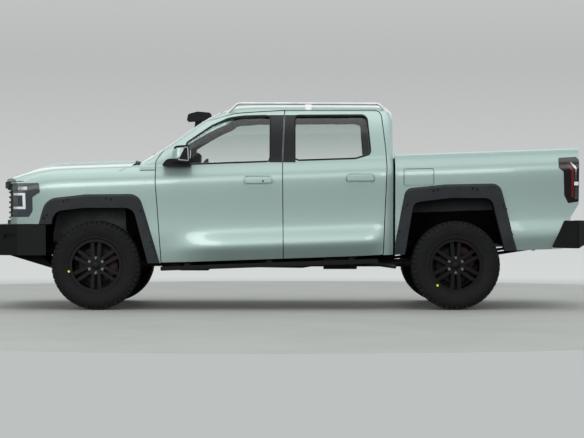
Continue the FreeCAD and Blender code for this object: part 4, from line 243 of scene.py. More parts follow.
def coloured_materials(colours):
    """Enamels, light guides, reflectors, lamp covers and screens."""
    # Enamel on the brake calipers.
    shades = (colours.caliper_low, colours.caliper_high)
    grained("caliper_enamel", *shades, 0.45, 0.02, 0.0003, Specular_IOR_Level=0.2)
    # Factory marking paint on the tyre's side wall.
    grained("marking_paint_yellow", "#D8DC22", "#E6E83A", 0.6, 0.004, 0.0002)
    # Light guides of the lamps: milky PMMA with a faint painted glow, though the lamps are off, and red PMMA.
    grained(
        "milky_pmma_guide", "#DCE3E6", "#EEF3F5", 0.25, 0.02, 0.0001, Coat_Weight=1.0,
        Emission_Color="#E8F0F4", Emission_Strength=0.15
    )
    grained("red_pmma_guide", "#6A1418", "#86191F", 0.25, 0.02, 0.0001, Coat_Weight=0.6)
    # Painted sheet of a blank number plate: white, faintly pressed.
    grained("blank_plate_enamel", "#D9DBDA", "#E4E6E5", 0.35, 0.01, 0.0001, Coat_Weight=0.4)
    # Liquid crystal screens behind glass, off: deep and glossy.
    grained(
        "dark_screen_glass", "#0A0B0D", "#101216", 0.08, 0.1, 0.00001, Coat_Weight=1.0, Coat_Roughness=0.02
    )
    # Red prismatic reflector.
    grained("prismatic_red_reflector", "#8A1216", "#B5181D", 0.2, 0.003, 0.0004, Coat_Weight=1.0)
    # Moulded polycarbonate over a dark lamp housing: smooth, deep, with faint ribs under the surface.
    for name, low, high in (
        ("smoked_clear_polycarbonate", "#34393D", "#565D62"),
        ("smoked_red_polycarbonate", "#161213", "#2E2426"),
    ):
        tree, shader, place = surface(name, Roughness=0.12, Coat_Weight=1.0, Coat_Roughness=0.02)
        ribs = add(tree, "TexWave", {"Vector": place, "Scale": 60.0, "Distortion": 0.4}, bands_direction="Z")
        tree.links.new(mixed(tree, ribs.outputs["Fac"], low, high), shader.inputs["Base Color"])


def cloth_material():
    """Woven polyester of the seats: threads 1.2 mm apart, drawn 3 mm apart so that they show."""
    tree, shader, place = surface("woven_polyester", Roughness=0.9, Sheen_Weight=0.35)
    threads = {"Vector": place, "Scale": 105.0, "Distortion": 1.5}
    warp = add(tree, "TexWave", threads, bands_direction="DIAGONAL")
    weft = add(tree, "TexWave", threads, bands_direction="Z")
    cross = combined(tree, "MULTIPLY", warp.outputs["Fac"], weft.outputs["Fac"])
    tree.links.new(mixed(tree, cross, "#1C1D20", "#3A3C41"), shader.inputs["Base Color"])
    relief(tree, shader, cross, 0.0006, 0.5)


def glass_material():
    """Tempered float glass, clear, that lets the lamps' light through; a painted shade darkens it towards its
    top.
    """
    clear_tint, shaded_top_tint, belt, top = srgb("#FBFEFD"), srgb("#D6E2DE"), 1.42, 1.86
    tree, shader, place = surface("tempered_glass_green", Roughness=0.0, IOR=1.5, Transmission_Weight=1.0)
    # From the belt to the roof the pane darkens and greens: painted shade for the dimmer view through the
    # windows' upper part.
    height = add(tree, "MapRange", {0: add(tree, "SeparateXYZ", {0: place}).outputs["Z"], 1: belt, 2: top})
    shade = add(tree, "MixRGB", {0: height.outputs[0], 1: clear_tint, 2: shaded_top_tint}).outputs[0]
    tree.links.new(shade, shader.inputs["Base Color"])
    clear = add(tree, "BsdfTransparent", {"Color": clear_tint})
    ray = add(tree, "LightPath").outputs["Is Shadow Ray"]
    both = add(tree, "MixShader", {0: ray, 1: shader.outputs[0], 2: clear.outputs[0]})
    tree.links.new(both.outputs[0], tree.nodes["Material Output"].inputs["Surface"])


FINISHES = {
    "mint_pearl_lacquer": ("front_wings", "bonnet", "bed_sides", "tailgate", "fuel_flap"),
    "mint_pearl_door": ("door_",),
    "mint_pearl_cab": ("cab_shell",),
    "moulded_abs_black": ("cowl_panel", "grille"),
    "needle_felt": ("arch_liners", "fuel_tank"),
    "matte_glass_filled_nylon": ("snorkel", "mirror_"),
    "smoked_clear_polycarbonate": ("headlamps",),
    "smoked_red_polycarbonate": ("tail_lamps",),
    "tempered_glass_green": ("fixed_glass", "glass_"),
    "extruded_epdm": ("door_seals",),
    "sprayed_polyurea_liner": ("load_bed",),
    "grained_polypropylene": ("arch_flares",),
    "textured_powder_coat": ("front_bumper", "rear_bumper", "skid_plate", "side_steps"),
    "satin_anodised_aluminium": ("roof_rails",),
    "waxed_chassis_paint": ("frame", "rear_axle", "leaf_springs", "front_suspension"),
    "cast_aluminium": ("engine", "driveline"),
    "aluminised_steel": ("exhaust",),
    "sand_cast_iron": ("knuckle_",),
    "satin_black_wheel_lacquer": ("rim_",),
    "vulcanised_rubber": ("tyre_",),
    "woven_polyester": ("seats",),
    "soft_touch_pvc": ("dashboard", "steering_wheel"),
}


def finish_nodes():
    """Gives each carried-over node the material whose name pattern fits it most closely."""
    for node_name, obj in NODES.items():
        fits = [(len(s), m) for m, starts in FINISHES.items() for s in starts if node_name.startswith(s)]
        if not fits:
            raise RuntimeError(f"no finish for {node_name}")
        obj.data.materials.clear()
        obj.data.materials.append(MATERIALS[max(fits)[1]])


# Meshes and objects


def new_mesh(name, vertices, faces, material, angle=35):
    """A clean mesh: doubles joined, normals outwards, edges sharp above that angle in degrees."""
    mesh = bpy.data.meshes.new(name)
    mesh.from_pydata([tuple(v) for v in vertices], [], faces)
    mesh.validate()
    mesh.materials.append(MATERIALS[material])
    work = bmesh.new()
    work.from_mesh(mesh)
    bmesh.ops.remove_doubles(work, verts=work.verts, dist=1e-6)
    bmesh.ops.recalc_face_normals(work, faces=work.faces)
    work.to_mesh(mesh)
    work.free()
    mesh.shade_smooth()
    mesh.set_sharp_from_angle(angle=math.radians(angle))
    return mesh


def put(name, mesh, slot, body, matrix=Matrix.Identity(4)):
    """An object on a mesh, riding on a body; the slot is not used."""
    obj = bpy.data.objects.new(name, mesh)
    bpy.context.scene.collection.objects.link(obj)
    obj.matrix_world = matrix
    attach(obj, body)
    return obj


def piece(name, shape, material, slot, body="chassis"):
    """An object with a mesh of its own from (vertices, faces) in the shared frame."""
    return put(name, new_mesh(name, *shape, material), slot, body)


def round_pairs(loop):
    """Each item of a loop with the one after it, and the last with the first."""
    return zip(loop, loop[1:] + loop[:1])


def rect(u0, u1, v0, v1):
    """The corners of an upright rectangle."""
    return [(u0, v0), (u1, v0), (u1, v1), (u0, v1)]


def oval(u, v, reach_u, reach_v, count):
    """Points on an ellipse round (u, v)."""
    turns = [2 * math.pi * k / count for k in range(count)]
    return [(u + reach_u * math.cos(t), v + reach_v * math.sin(t)) for t in turns]


def fill(loop, spacing):
    """The loop with points added so that none are further apart than about spacing."""
    spread = []
    for a, b in round_pairs(loop):
        steps = max(1, round((b - a).length / spacing))
        spread += [a.lerp(b, k / steps) for k in range(steps)]
    return spread


def stack(rings, closed=False):
    """Vertices and faces of rings joined in a row; the last ring is filled, and the first too if closed."""
    count, last = len(rings[0]), len(rings) - 1
    faces = []
    for r in range(last):
        here, above = r * count, (r + 1) * count
        for i in range(count):
            after = (i + 1) % count
            faces.append((here + i, here + after, above + after, above + i))
    faces.append(tuple(last * count + i for i in range(count)))
    if closed:
        faces.append(tuple(range(count)))
    return [point for ring in rings for point in ring], faces


def prism(outline, near, far):
    """A block between y = near and y = far with an (x, z) outline."""
    return stack([[(x, y, z) for x, z in outline] for y in (near, far)], True)


def revolve(profile, steps, closed=False):
    """Vertices and faces of a (radius, y) profile turned about the Y axis."""
    vertices, faces = [], []
    count = len(profile)
    for i in range(steps):
        angle = 2 * math.pi * i / steps
        for radius, y in profile:
            vertices.append((radius * math.cos(angle), y, radius * math.sin(angle)))
    for i in range(steps):
        here, beyond = i * count, (i + 1) % steps * count
        for k in range(count if closed else count - 1):
            after = (k + 1) % count
            faces.append((here + k, here + after, beyond + after, beyond + k))
    return vertices, faces


def merge(parts):
    """Joins (vertices, faces) parts into one."""
    vertices, faces = [], []
    for points, loops in parts:
        start = len(vertices)
        vertices += list(points)
        faces += [tuple(i + start for i in loop) for loop in loops]
    return vertices, faces


# Rays that find the solids' surfaces


TREES = {}


def tree_of(node_name):
    """The search tree of a node's mesh, in the shared frame."""
    if node_name not in TREES:
        mesh = NODES[node_name].data
        corners, polygons = [v.co for v in mesh.vertices], [p.vertices for p in mesh.polygons]
        TREES[node_name] = BVHTree.FromPolygons(corners, polygons)
    return TREES[node_name]


def meet(targets, origin, direction):
    """Where a ray first meets the target nodes, with the surface's normal there; or two Nones."""
    hits = [tree_of(t).ray_cast(origin, direction) for t in targets]
    hits = [h for h in hits if h[0] is not None]
    if not hits:
        return None, None
    nearest = min(hits, key=lambda h: h[3])
    normal = nearest[1] if nearest[1].dot(direction) < 0 else -nearest[1]
    return nearest[0], normal


def touch(targets, origin, direction):
    """The first point that a ray meets on the target nodes, or None."""
    return meet(targets, origin, direction)[0]


def from_side(side):
    """Rays from beside the truck for (along, up) points."""
    return lambda u, v: (Vector((u, side * 3, v)), Vector((0, -side, 0)))


def from_end(end):
    """Rays from ahead of or behind the truck for (across, up) points."""
    return lambda u, v: (Vector((end * 5, u, v)), Vector((-end, 0, 0)))


def from_above(u, v):
    """The ray from above for an (along, across) point."""
    return Vector((u, v, 4)), Vector((0, 0, -1))


def from_cabin(u, v):
    """The ray from the middle of the cabin ahead for an (across, up) point."""
    return Vector((0.2, u, v)), Vector((-1, 0, 0))


def round_corner(x, y, side):
    """Rays towards an upright line for (turn, up) points, where turn is in metres on a 1 m circle."""
    return lambda u, v: (
        Vector((x - 3 * math.cos(u), y + side * 3 * math.sin(u), v)),
        Vector((math.cos(u), -side * math.sin(u), 0)),
    )


def edge_along(rays, targets, start, end, v):
    """The last u on the way from start to end at height v where a ray still meets the targets."""
    inner, outer = start, end
    for _ in range(14):  # halves the gap to less than 0.1 mm
        middle = (inner + outer) / 2
        if touch(targets, *rays(middle, v)) is None:
            outer = middle
        else:
            inner = middle
    return inner


def turn(a, b, c):
    """Twice the signed area of a triangle."""
    return (b[0] - a[0]) * (c[1] - a[1]) - (b[1] - a[1]) * (c[0] - a[0])


def hull_of(node_name, axes=(0, 2), spacing=0.02, end=0):
    """The outline of a node, or of its half at one end, seen along an axis: evenly spaced points."""
    kept = [v.co for v in NODES[node_name].data.vertices if end == 0 or v.co.x * end > 0]
    points = sorted({(round(co[axes[0]], 4), round(co[axes[1]], 4)) for co in kept})
    chains = []
    for run in (points, points[::-1]):
        chain = []
        for p in run:
            while len(chain) > 1 and turn(chain[-2], chain[-1], p) <= 0:
                chain.pop()
            chain.append(p)
        chains += chain[:-1]
    spread = fill([Vector(p) for p in chains], spacing)
    return [p for i, p in enumerate(spread) if (p - spread[i - 1]).length > 0.002]


# Plates and strips laid on the solids


SINK = 0.001  # how far a plate reaches into what carries it
BLACK = ("moulded_abs_black", "trim_plastic")  # the finish and the slot of most small trim


def inside(point, loop):
    """True if a point lies in a loop."""
    odd = False
    for a, b in round_pairs(loop):
        if (a.y > point.y) != (b.y > point.y) and point.x < (b.x - a.x) * (point.y - a.y) / (b.y - a.y) + a.x:
            odd = not odd
    return odd


def plate(name, spots, faces, rays, targets, material, slot, body):
    """A plate through (u, v, thickness) spots laid on the targets, without the faces whose rays miss them."""
    top, bottom = [], []
    for u, v, thick in spots:
        origin, direction = rays(u, v)
        hit = touch(targets, origin, direction)
        top.append(None if hit is None else hit - direction * thick)
        bottom.append(None if hit is None else hit + direction * SINK)
    faces = [f for f in faces if all(top[i] is not None for i in f)]
    used = sorted({i for f in faces for i in f})
    index = {old: new for new, old in enumerate(used)}
    count = len(used)
    faces = [[index[i] for i in f] for f in faces]
    edges = {pair for f in faces for pair in round_pairs(f)}
    open_edges = [(a, b) for f in faces for a, b in round_pairs(f) if (b, a) not in edges]
    walls = [(a, b, b + count, a + count) for a, b in open_edges]
    under = [[i + count for i in reversed(f)] for f in faces]
    points = [top[i] for i in used] + [bottom[i] for i in used]
    piece(name, (points, faces + walls + under), material, slot, body)


def skin(name, outline, rays, targets, thick, material, slot, body="chassis", spacing=0.03):
    """A thin plate with that outline, laid on what the rays meet."""
    outline = [Vector(p) for p in outline]
    low = Vector((min(p.x for p in outline), min(p.y for p in outline)))
    high = Vector((max(p.x for p in outline), max(p.y for p in outline)))
    rim = fill(outline, spacing)
    inner = []
    columns, rows = (max(1, int((high - low)[k] / spacing)) for k in (0, 1))
    for i in range(1, columns):
        for j in range(1, rows):
            p = Vector((low.x + (high.x - low.x) * i / columns, low.y + (high.y - low.y) * j / rows))
            if min((p - q).length for q in rim) > spacing * 0.45 and inside(p, rim):
                inner.append(p)
    flat, _, faces, *_ = delaunay_2d_cdt(rim + inner, [], [list(range(len(rim)))], 1, 1e-5)
    plate(name, [(p.x, p.y, thick) for p in flat], faces, rays, targets, material, slot, body)


def band(name, loop, inner, outer, rays, targets, thick, material, slot, body="chassis"):
    """A closed strip round a loop, between two offsets from it, thickest along its middle."""
    count, width = len(loop), 3
    spots, faces = [], []
    for i, p in enumerate(loop):
        along = (loop[(i + 1) % count] - loop[i - 1]).normalized()
        out = Vector((along.y, -along.x))
        for k in range(width):
            q = p + out * (inner + (outer - inner) * k / (width - 1))
            spots.append((q.x, q.y, thick if k == 1 else thick * 0.55))
        here, beyond = i * width, (i + 1) % count * width
        faces += [[here + k, here + k + 1, beyond + k + 1, beyond + k] for k in range(width - 1)]
    plate(name, spots, faces, rays, targets, material, slot, body)


# Tyres and wheels


# (radius, y) from the middle of the tread to the bead
TYRE_LINE = (
    (0.4035, 0.0), (0.4025, 0.06), (0.3985, 0.1), (0.389, 0.122), (0.368, 0.131), (0.335, 0.1355),
    (0.3, 0.1325), (0.272, 0.1255), (0.262, 0.1235), (0.256, 0.125), (0.25, 0.1195), (0.243, 0.108),
    (0.2295, 0.1),
)
SLANT = 0.012  # how far the outer corners of the centre blocks lead
NUT_COUNT, NUT_CIRCLE = 6, 0.06985
DISC_PLACE = 0.744  # from the middle of the truck to the brake disc's back
CALIPER_REACH = 34  # degrees each way
CALIPER_SECTION = (
    (0.108, 0.752), (0.108, 0.762), (0.165, 0.764), (0.17, 0.79), (0.165, 0.794), (0.108, 0.796),
    (0.108, 0.812), (0.15, 0.818), (0.186, 0.814), (0.197, 0.8), (0.197, 0.762), (0.184, 0.75),
)


def lump(outline, place, height, edge):
    """A raised block: its foot follows the outline, its top is drawn in by edge; place maps (u, v, lift)."""
    count = len(outline)
    middle = (sum(p[0] for p in outline) / count, sum(p[1] for p in outline) / count)
    rings = []
    for lift, draw in ((-0.004, 0.0), (height - edge, 0.0), (height, edge)):
        ring = []
        for u, v in outline:
            share = 1 - draw / math.hypot(u - middle[0], v - middle[1])
            ring.append(place(middle[0] + (u - middle[0]) * share, middle[1] + (v - middle[1]) * share, lift))
        rings.append(ring)
    return stack(rings)


def smooth_profile(points, spacing):
    """A smooth line through (a, b) points."""
    path = []
    longer = [points[0]] + list(points) + [points[-1]]
    for p0, p1, p2, p3 in zip(longer, longer[1:], longer[2:], longer[3:]):
        steps = max(1, round(math.dist(p1, p2) / spacing))
        for t in (k / steps for k in range(steps)):
            path.append(tuple(
                0.5 * (2 * b + (c - a) * t
                       + (2 * a - 5 * b + 4 * c - d) * t ** 2 + (3 * b - a - 3 * c + d) * t ** 3)
                for a, b, c, d in zip(p0, p1, p2, p3)
            ))
    return path + [points[-1]]


def on_crown(u, v, lift):
    """The place of (along, across, lift) on the tread."""
    radius = TYRE_LINE[0][0] - 0.0065 * (abs(v) / 0.137) ** 3 + lift
    angle = u / TYRE_RADIUS
    return (radius * math.cos(angle), v, radius * math.sin(angle))


def on_wall(side):
    """The places of (along, radius, lift) on a tyre's side wall, which swells out below the shoulder."""
    def place(u, v, lift):
        angle = u / TYRE_RADIUS
        drop = min(1, max(0, (0.4 - v) / 0.05))
        y = side * (0.1195 + 0.0165 * math.sin(drop * math.pi / 2) + lift)
        return (v * math.cos(angle), y, v * math.sin(angle))
    return place


def tyre_mesh(pitches):
    """An all-terrain tyre: carcass, two rows of centre blocks, shoulder blocks and side lugs."""
    line = smooth_profile(TYRE_LINE, 0.012)
    parts = [revolve(line[::-1] + [(r, -y) for r, y in line[1:]], 96)]
    pitch = 2 * math.pi * TYRE_RADIUS / pitches
    for k in range(pitches):
        # Every other shoulder block and lug reaches further; the right half is set off by half a pitch.
        reach, foot = (0.127, 0.352) if k % 2 else (0.121, 0.366)
        for side in (-1, 1):
            shift = pitch * (k + (0.5 if side > 0 else 0))
            centre = [
                (shift - 0.4 * pitch, side * 0.004), (shift + 0.34 * pitch, side * 0.007),
                (shift + 0.44 * pitch + SLANT, side * 0.05), (shift + 0.1 * pitch, side * 0.062),
                (shift - 0.36 * pitch + SLANT, side * 0.052),
            ]
            shoulder = [
                (shift - 0.22 * pitch, side * 0.07), (shift + 0.56 * pitch, side * 0.067),
                (shift + 0.6 * pitch, side * reach), (shift - 0.24 * pitch, side * reach),
            ]
            lug = [
                (shift - 0.2 * pitch, 0.3985), (shift + 0.56 * pitch, 0.3985),
                (shift + 0.48 * pitch, foot + 0.01), (shift + 0.3 * pitch, foot),
                (shift - 0.12 * pitch, foot + 0.004),
            ]
            parts.append(lump(centre, on_crown, 0.0105, 0.0015))
            parts.append(lump(shoulder, on_crown, 0.0095, 0.0018))
            parts.append(lump(lug, on_wall(side), 0.0035, 0.0012))
    return merge(parts)


def wheels():
    """Each wheel's name, side and axle, and the matrix of a wheel drawn facing -Y at the origin."""
    for end, x in ENDS:
        for side_name, side in SIDES:
            spin = Matrix.Rotation(math.pi, 4, "Z") if side > 0 else Matrix.Identity(4)
            place = Matrix.Translation((x, side * TRACK, AXLE_HEIGHT)) @ spin
            yield f"{end}_{side_name}", (side_name, side), x, place


def build_tyres(sizes):
    """Four tyres with their treads, in place of the plain ones."""
    mesh = new_mesh("tyre_tread", *tyre_mesh(sizes.tread_pitches), "vulcanised_rubber", 30)
    for wheel, _, _, place in wheels():
        tyre = put(f"tread_{wheel}", mesh, "tyre_rubber", f"wheel_{wheel}_body", place)
        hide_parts(f"tyre_{wheel}")


def build_wheel_hardware():
    """Nuts, centre caps, calipers and backing plates on the wheels, and aprons in the front arches."""
    parts = []
    for k in range(NUT_COUNT):
        angle = math.radians(360 / NUT_COUNT * k + 30)
        x, z = NUT_CIRCLE * math.cos(angle), NUT_CIRCLE * math.sin(angle)
        # A hexagon drawn in at its tip, on a round collar.
        shapes = ((6, 0.0115, 0.0, -0.022, 0.8), (24, 0.0135, 0.002, -0.004, 1.0))
        for count, radius, back, face, dome in shapes:
            ring = oval(x, z, radius, radius, count)
            top = [(u, face, v) for u, v in oval(x, z, radius * dome, radius * dome, count)]
            parts.append(stack([[(u, y, v) for u, v in ring] for y in (back, face + 0.003)] + [top]))
    nuts = new_mesh("wheel_nuts", *merge(parts), "zinc_nickel_plate")
    cap_line = [(0.0001, -0.014), (0.02, -0.0135), (0.034, -0.011), (0.038, -0.006), (0.038, 0.004)]
    cap = new_mesh("centre_cap", *revolve(cap_line, 40), "satin_black_wheel_lacquer")
    for wheel, (side_name, side), x, place in wheels():
        body = f"wheel_{wheel}_body"
        hub = touch([f"rim_{wheel}"], place @ Vector((0.05, -1, 0.0)), Vector((0, -side, 0)))
        on_hub = place @ Matrix.Translation((0, TRACK - abs(hub.y), 0))
        put(f"wheel_nuts_{wheel}", nuts, "steel", body, on_hub)
        put(f"centre_cap_{wheel}", cap, "rim_paint", body, on_hub)
        carrier, raised = (f"knuckle_{side_name}_body", 0) if x == FRONT_AXLE else ("chassis", 35)
        build_caliper(f"caliper_{wheel}", x, side, raised, carrier)
        build_backing_plate(f"backing_plate_{wheel}", x, side, f"rim_{wheel}", carrier)
    outline = [
        (-1.36, 0.565), (-1.4, 0.64), (-1.445, 0.7), (-1.5, 0.735),
        (-1.51, 0.975), (-1.4, 0.975), (-1.29, 0.7), (-1.27, 0.565),
    ]
    for side_name, side in SIDES:
        # The felt sheet that closes the front arch behind the wheel, inboard of the steered tyre.
        apron = prism(outline, side * 0.6, side * 0.604)
        piece(f"arch_apron_{side_name}", apron, "needle_felt", "trim_plastic")


def build_backing_plate(name, x, side, rim, body):
    """A pressed plate behind the brake disc that fills the wheel's inner mouth."""
    centre = Vector((x, side * DISC_PLACE, AXLE_HEIGHT))
    reach = (touch([rim], centre, Vector((0, 0, 1))) - centre).length - 0.005
    profile = [
        (0.06, 0.0), (0.1, 0.004), (reach - 0.02, 0.004), (reach - 0.012, 0.0), (reach, 0.0), (reach, -0.003),
        (0.06, -0.003),
    ]
    points, faces = revolve(profile, 48, True)
    points = [centre + Vector((px, side * py, pz)) for px, py, pz in points]
    piece(name, (points, faces), "sand_cast_iron", "cast_iron", body)


def build_caliper(name, x, side, raised, body):
    """A fixed caliper behind the axle, raised by an angle: a curved block with three ribs over the disc."""
    steps, rings = 14, []
    for i in range(steps + 1):
        share = i / steps * 2 - 1
        angle = math.radians(CALIPER_REACH * share + raised)
        swell = 1 + 0.012 * math.cos(share * math.pi * 3)
        ring = []
        for r, y in CALIPER_SECTION:
            radius = r if r < 0.12 else r * swell
            ring.append((x + radius * math.cos(angle), side * y, AXLE_HEIGHT + radius * math.sin(angle)))
        rings.append(ring)
    piece(name, stack(rings, True), "caliper_enamel", "cast_iron", body)


# Windows


COVER_FOOT, COVER_HEIGHT = 1.374, 0.45
COVER_EDGE = {"front": -0.139, "rear": 0.104}  # x of the pillar covers' straight edges


def build_window_trim(sizes):
    """Black surrounds, pillar covers and mirror sails on the doors."""
    rows = [COVER_FOOT + COVER_HEIGHT * k / 12 for k in range(13)]
    for side_name, side in SIDES:
        rays = from_side(side)
        for end, straight in COVER_EDGE.items():
            door, pane = f"door_{end}_{side_name}", hull_of(f"glass_{end}_{side_name}")
            body, name = f"{door}_body", f"window_surround_{end}_{side_name}"
            band(name, pane, 0.0008, sizes.surround, rays, [door], 0.0025, *BLACK, body)
            low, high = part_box(door)
            far_edge, step = (high.x, 0.0015) if end == "front" else (low.x, -0.0015)
            far_line = [(edge_along(rays, [door], straight, far_edge + step * 9, z) - step, z) for z in rows]
            pillar = [(straight, z) for z in rows[::-1]] + far_line
            skin(
                f"pillar_cover_{end}_{side_name}", pillar, rays, [door], 0.002, "piano_black_acrylic",
                "trim_plastic", body, 0.04
            )
        door = f"door_front_{side_name}"
        front = min(p.x for p in hull_of(f"glass_front_{side_name}"))
        sail = [(front + 0.004, 1.372), (front + 0.12, 1.372), (front + 0.118, 1.455), (front + 0.1, 1.46)]
        targets = [door, f"glass_front_{side_name}"]
        skin(f"mirror_sail_{side_name}", sail, rays, targets, 0.004, *BLACK, f"{door}_body", 0.02)


# Lamps


LAMP_CORNER = (-2.38, 0.69)  # the upright line that the headlamps wrap round


def build_headlamps():
    """Metal bars, light guides and black surrounds on the headlamps."""
    lamp = ["headlamps"]
    upper = [(0.0, 1.12), (1.5, 1.118), (1.5, 1.148), (0.0, 1.15)]
    lower = [(0.0, 0.882), (1.35, 0.882), (1.35, 0.91), (0.0, 0.912)]
    guide = [
        (0.42, 0.938), (1.42, 0.938), (1.42, 1.088), (0.42, 1.088),
        (0.42, 1.066), (1.3, 1.066), (1.3, 0.96), (0.42, 0.96),
    ]
    for side_name, side in SIDES:
        wrap = round_corner(LAMP_CORNER[0], side * LAMP_CORNER[1], side)
        for part, outline, thick, material in (
            ("upper_bar", upper, 0.003, "metallised_reflector"),
            ("lower_bar", lower, 0.003, "metallised_reflector"),
            ("light_guide", guide, 0.004, "milky_pmma_guide"),
            ("inner_lens", rect(0.5, 1.15, 0.978, 1.048), 0.002, "metallised_reflector"),
        ):
            name = f"headlamp_{part}_{side_name}"
            skin(name, outline, wrap, lamp, thick, material, "lamp_clear", spacing=0.04)
        strip = rect(side * 0.65, side * 0.712, 0.872, 1.174)
        skin(f"headlamp_surround_{side_name}", strip, from_end(-1), lamp, 0.004, *BLACK)


def build_tail_lamps():
    """Red, white and metal parts on the tail lamps, and their faces towards the back."""
    side_guide = [(2.668, 1.05), (2.69, 1.05), (2.69, 1.3), (2.632, 1.362), (2.622, 1.348), (2.668, 1.292)]
    side_rib = [(2.7, 1.205), (2.716, 1.205), (2.716, 1.32), (2.664, 1.378), (2.652, 1.37), (2.7, 1.31)]
    bracket = (
        (0.868, 1.04), (0.945, 1.04), (0.945, 1.06), (0.888, 1.06),
        (0.888, 1.34), (0.945, 1.34), (0.945, 1.36), (0.868, 1.36),
    )
    for side_name, side in SIDES:
        beside, behind = from_side(side), from_end(1)
        rear_guide = [(side * y, z) for y, z in bracket]
        rear_block = rect(side * 0.9, side * 0.946, 1.15, 1.2)
        for part, outline, rays, thick, material in (
            ("red_side_guide", side_guide, beside, 0.003, "red_pmma_guide"),
            ("white_side_block", rect(2.694, 2.733, 1.158, 1.192), beside, 0.003, "milky_pmma_guide"),
            ("grey_side_rib", side_rib, beside, 0.002, "metallised_reflector"),
            ("grey_lower_rib", rect(2.7, 2.73, 1.03, 1.145), beside, 0.002, "metallised_reflector"),
            ("red_rear_guide", rear_guide, behind, 0.003, "red_pmma_guide"),
            ("white_rear_block", rear_block, behind, 0.003, "milky_pmma_guide"),
        ):
            skin(f"tail_lamp_{part}_{side_name}", outline, rays, ["tail_lamps"], thick, material, "lamp_red")


# Small fittings


# (radius, lift) in bolt radii: a socket, a rounded head and a foot sunk into the surface
BOLT_LINE = [(0.0, 0.25), (0.35, 0.25), (0.42, 0.62), (0.8, 0.6), (1.0, 0.25), (1.0, -0.3)]
FLARE_BOLTS = (
    (-2.029, 1.017), (-1.628, 1.033), (-1.318, 0.905), (-1.235, 0.61), (-2.22, 0.87),
    (1.405, 1.113), (1.768, 1.125), (1.124, 0.964), (2.052, 0.957), (2.11, 0.722), (1.062, 0.712),
)
FLARE_BOLT_REACH = 0.021  # from the middle of a pair to each bolt


def fasteners(name, spots, rays, target, radius, material, slot, body="chassis"):
    """Socket-head bolts at (u, v) spots, each square to the surface it sits on."""
    parts = []
    bolt, faces = revolve(BOLT_LINE, 12)
    for u, v in spots:
        point, normal = meet([target], *rays(u, v))
        if point is None:
            raise RuntimeError(f"{name}: no surface at {u}, {v}")
        turned = normal.to_track_quat("Z", "Y").to_matrix()
        corners = [point + turned @ Vector((radius * x, radius * y, radius * z)) for x, z, y in bolt]
        parts.append((corners, faces))
    piece(name, merge(parts), material, slot, body)


def onto(x, z, axle, rays, target):
    """The spot nearest to (x, z), towards the axle or away from it, that lies on the target."""
    inward = Vector((axle - x, AXLE_HEIGHT - z)).normalized()
    for reach in (0, 0.006, -0.006, 0.012, -0.012, 0.02, -0.02, 0.03, -0.03, 0.045, 0.06):
        spot = (x + inward.x * reach, z + inward.y * reach)
        if touch([target], *rays(*spot)) is not None:
            return spot
    raise RuntimeError(f"{target}: nothing near {x}, {z}")


def build_fasteners():
    """Bolts in pairs on the arch flares, bolts on both bumpers, and the front doors' locks."""
    plated = ("zinc_nickel_plate", "steel")
    for side_name, side in SIDES:
        beside, spots = from_side(side), []
        for x, z in FLARE_BOLTS:
            axle = FRONT_AXLE if x < 0 else REAR_AXLE
            along = Vector((z - AXLE_HEIGHT, -(x - axle))).normalized() * FLARE_BOLT_REACH
            for sign in (-1, 1):
                spots.append(onto(x + sign * along.x, z + sign * along.y, axle, beside, "arch_flares"))
        fasteners(f"flare_bolts_{side_name}", spots, beside, "arch_flares", 0.0095, *BLACK)
        spots = [(side * y, z) for y in (0.36, 0.52) for z in (0.56, 0.745)]
        fasteners(f"front_bumper_bolts_{side_name}", spots, from_end(-1), "front_bumper", 0.012, *plated)
        door = f"door_front_{side_name}"
        fasteners(f"door_lock_{side_name}", [(-0.198, 1.198)], beside, door, 0.009, *BLACK, f"{door}_body")
        spots = [(side * y, 0.77) for y in (0.42, 0.55)]
        fasteners(f"rear_bumper_bolts_{side_name}", spots, from_end(1), "rear_bumper", 0.011, *plated)


def build_bumper_fittings():
    """Lamp bars, blank plates, reflectors and step pads on the bumpers."""
    ahead, behind = from_end(-1), from_end(1)
    front, rear = ["front_bumper"], ["rear_bumper"]
    for side_name, side in SIDES:
        bar, rim = rect(side * 0.6, side * 0.735, 0.655, 0.69), rect(side * 0.585, side * 0.75, 0.64, 0.705)
        pad, reflector = rect(2.56, 2.82, side * 0.5, side * 0.78), rect(side * 0.66, side * 0.8, 0.64, 0.672)
        for part, outline, rays, target, thick, material, slot in (
            ("fog_lamp", bar, ahead, front, 0.006, "milky_pmma_guide", "lamp_clear"),
            ("fog_lamp_rim", rim, ahead, front, 0.003, *BLACK),
            ("step_pad", pad, from_above, rear, 0.004, "extruded_epdm", "trim_plastic"),
            ("rear_reflector", reflector, behind, rear, 0.004, "prismatic_red_reflector", "lamp_red"),
        ):
            skin(f"{part}_{side_name}", outline, rays, target, thick, material, slot)
    for name, rays, target, low in (("front", ahead, front, 0.575), ("rear", behind, rear, 0.625)):
        for part, outline, thick, material, slot in (
            ("plate_holder", rect(-0.25, 0.25, low - 0.01, low + 0.15), 0.004, *BLACK),
            ("blank_plate", rect(-0.235, 0.235, low, low + 0.14), 0.006, "blank_plate_enamel", "silver"),
        ):
            skin(f"{part}_{name}", outline, rays, target, thick, material, slot, spacing=0.05)


def build_tailgate_fittings():
    """Release handle, its pocket and the camera on the tailgate, and the high brake light on the cab."""
    behind, gate, body = from_end(1), ["tailgate"], "tailgate_body"
    skin("tailgate_pocket", rect(-0.17, 0.17, 1.3, 1.385), behind, gate, 0.003, *BLACK, body)
    grip = rect(-0.15, 0.15, 1.335, 1.375)
    skin("tailgate_grip", grip, behind, gate, 0.012, "satin_black_wheel_lacquer", "trim_plastic", body)
    light = rect(-0.14, 0.14, 1.838, 1.86)
    skin("high_brake_light", light, behind, ["cab_shell"], 0.005, "prismatic_red_reflector", "lamp_red")
    lens = oval(0, 1.312, 0.014, 0.009, 16)
    skin("tailgate_camera", lens, behind, gate, 0.009, "dark_screen_glass", "trim_plastic", body, 0.01)


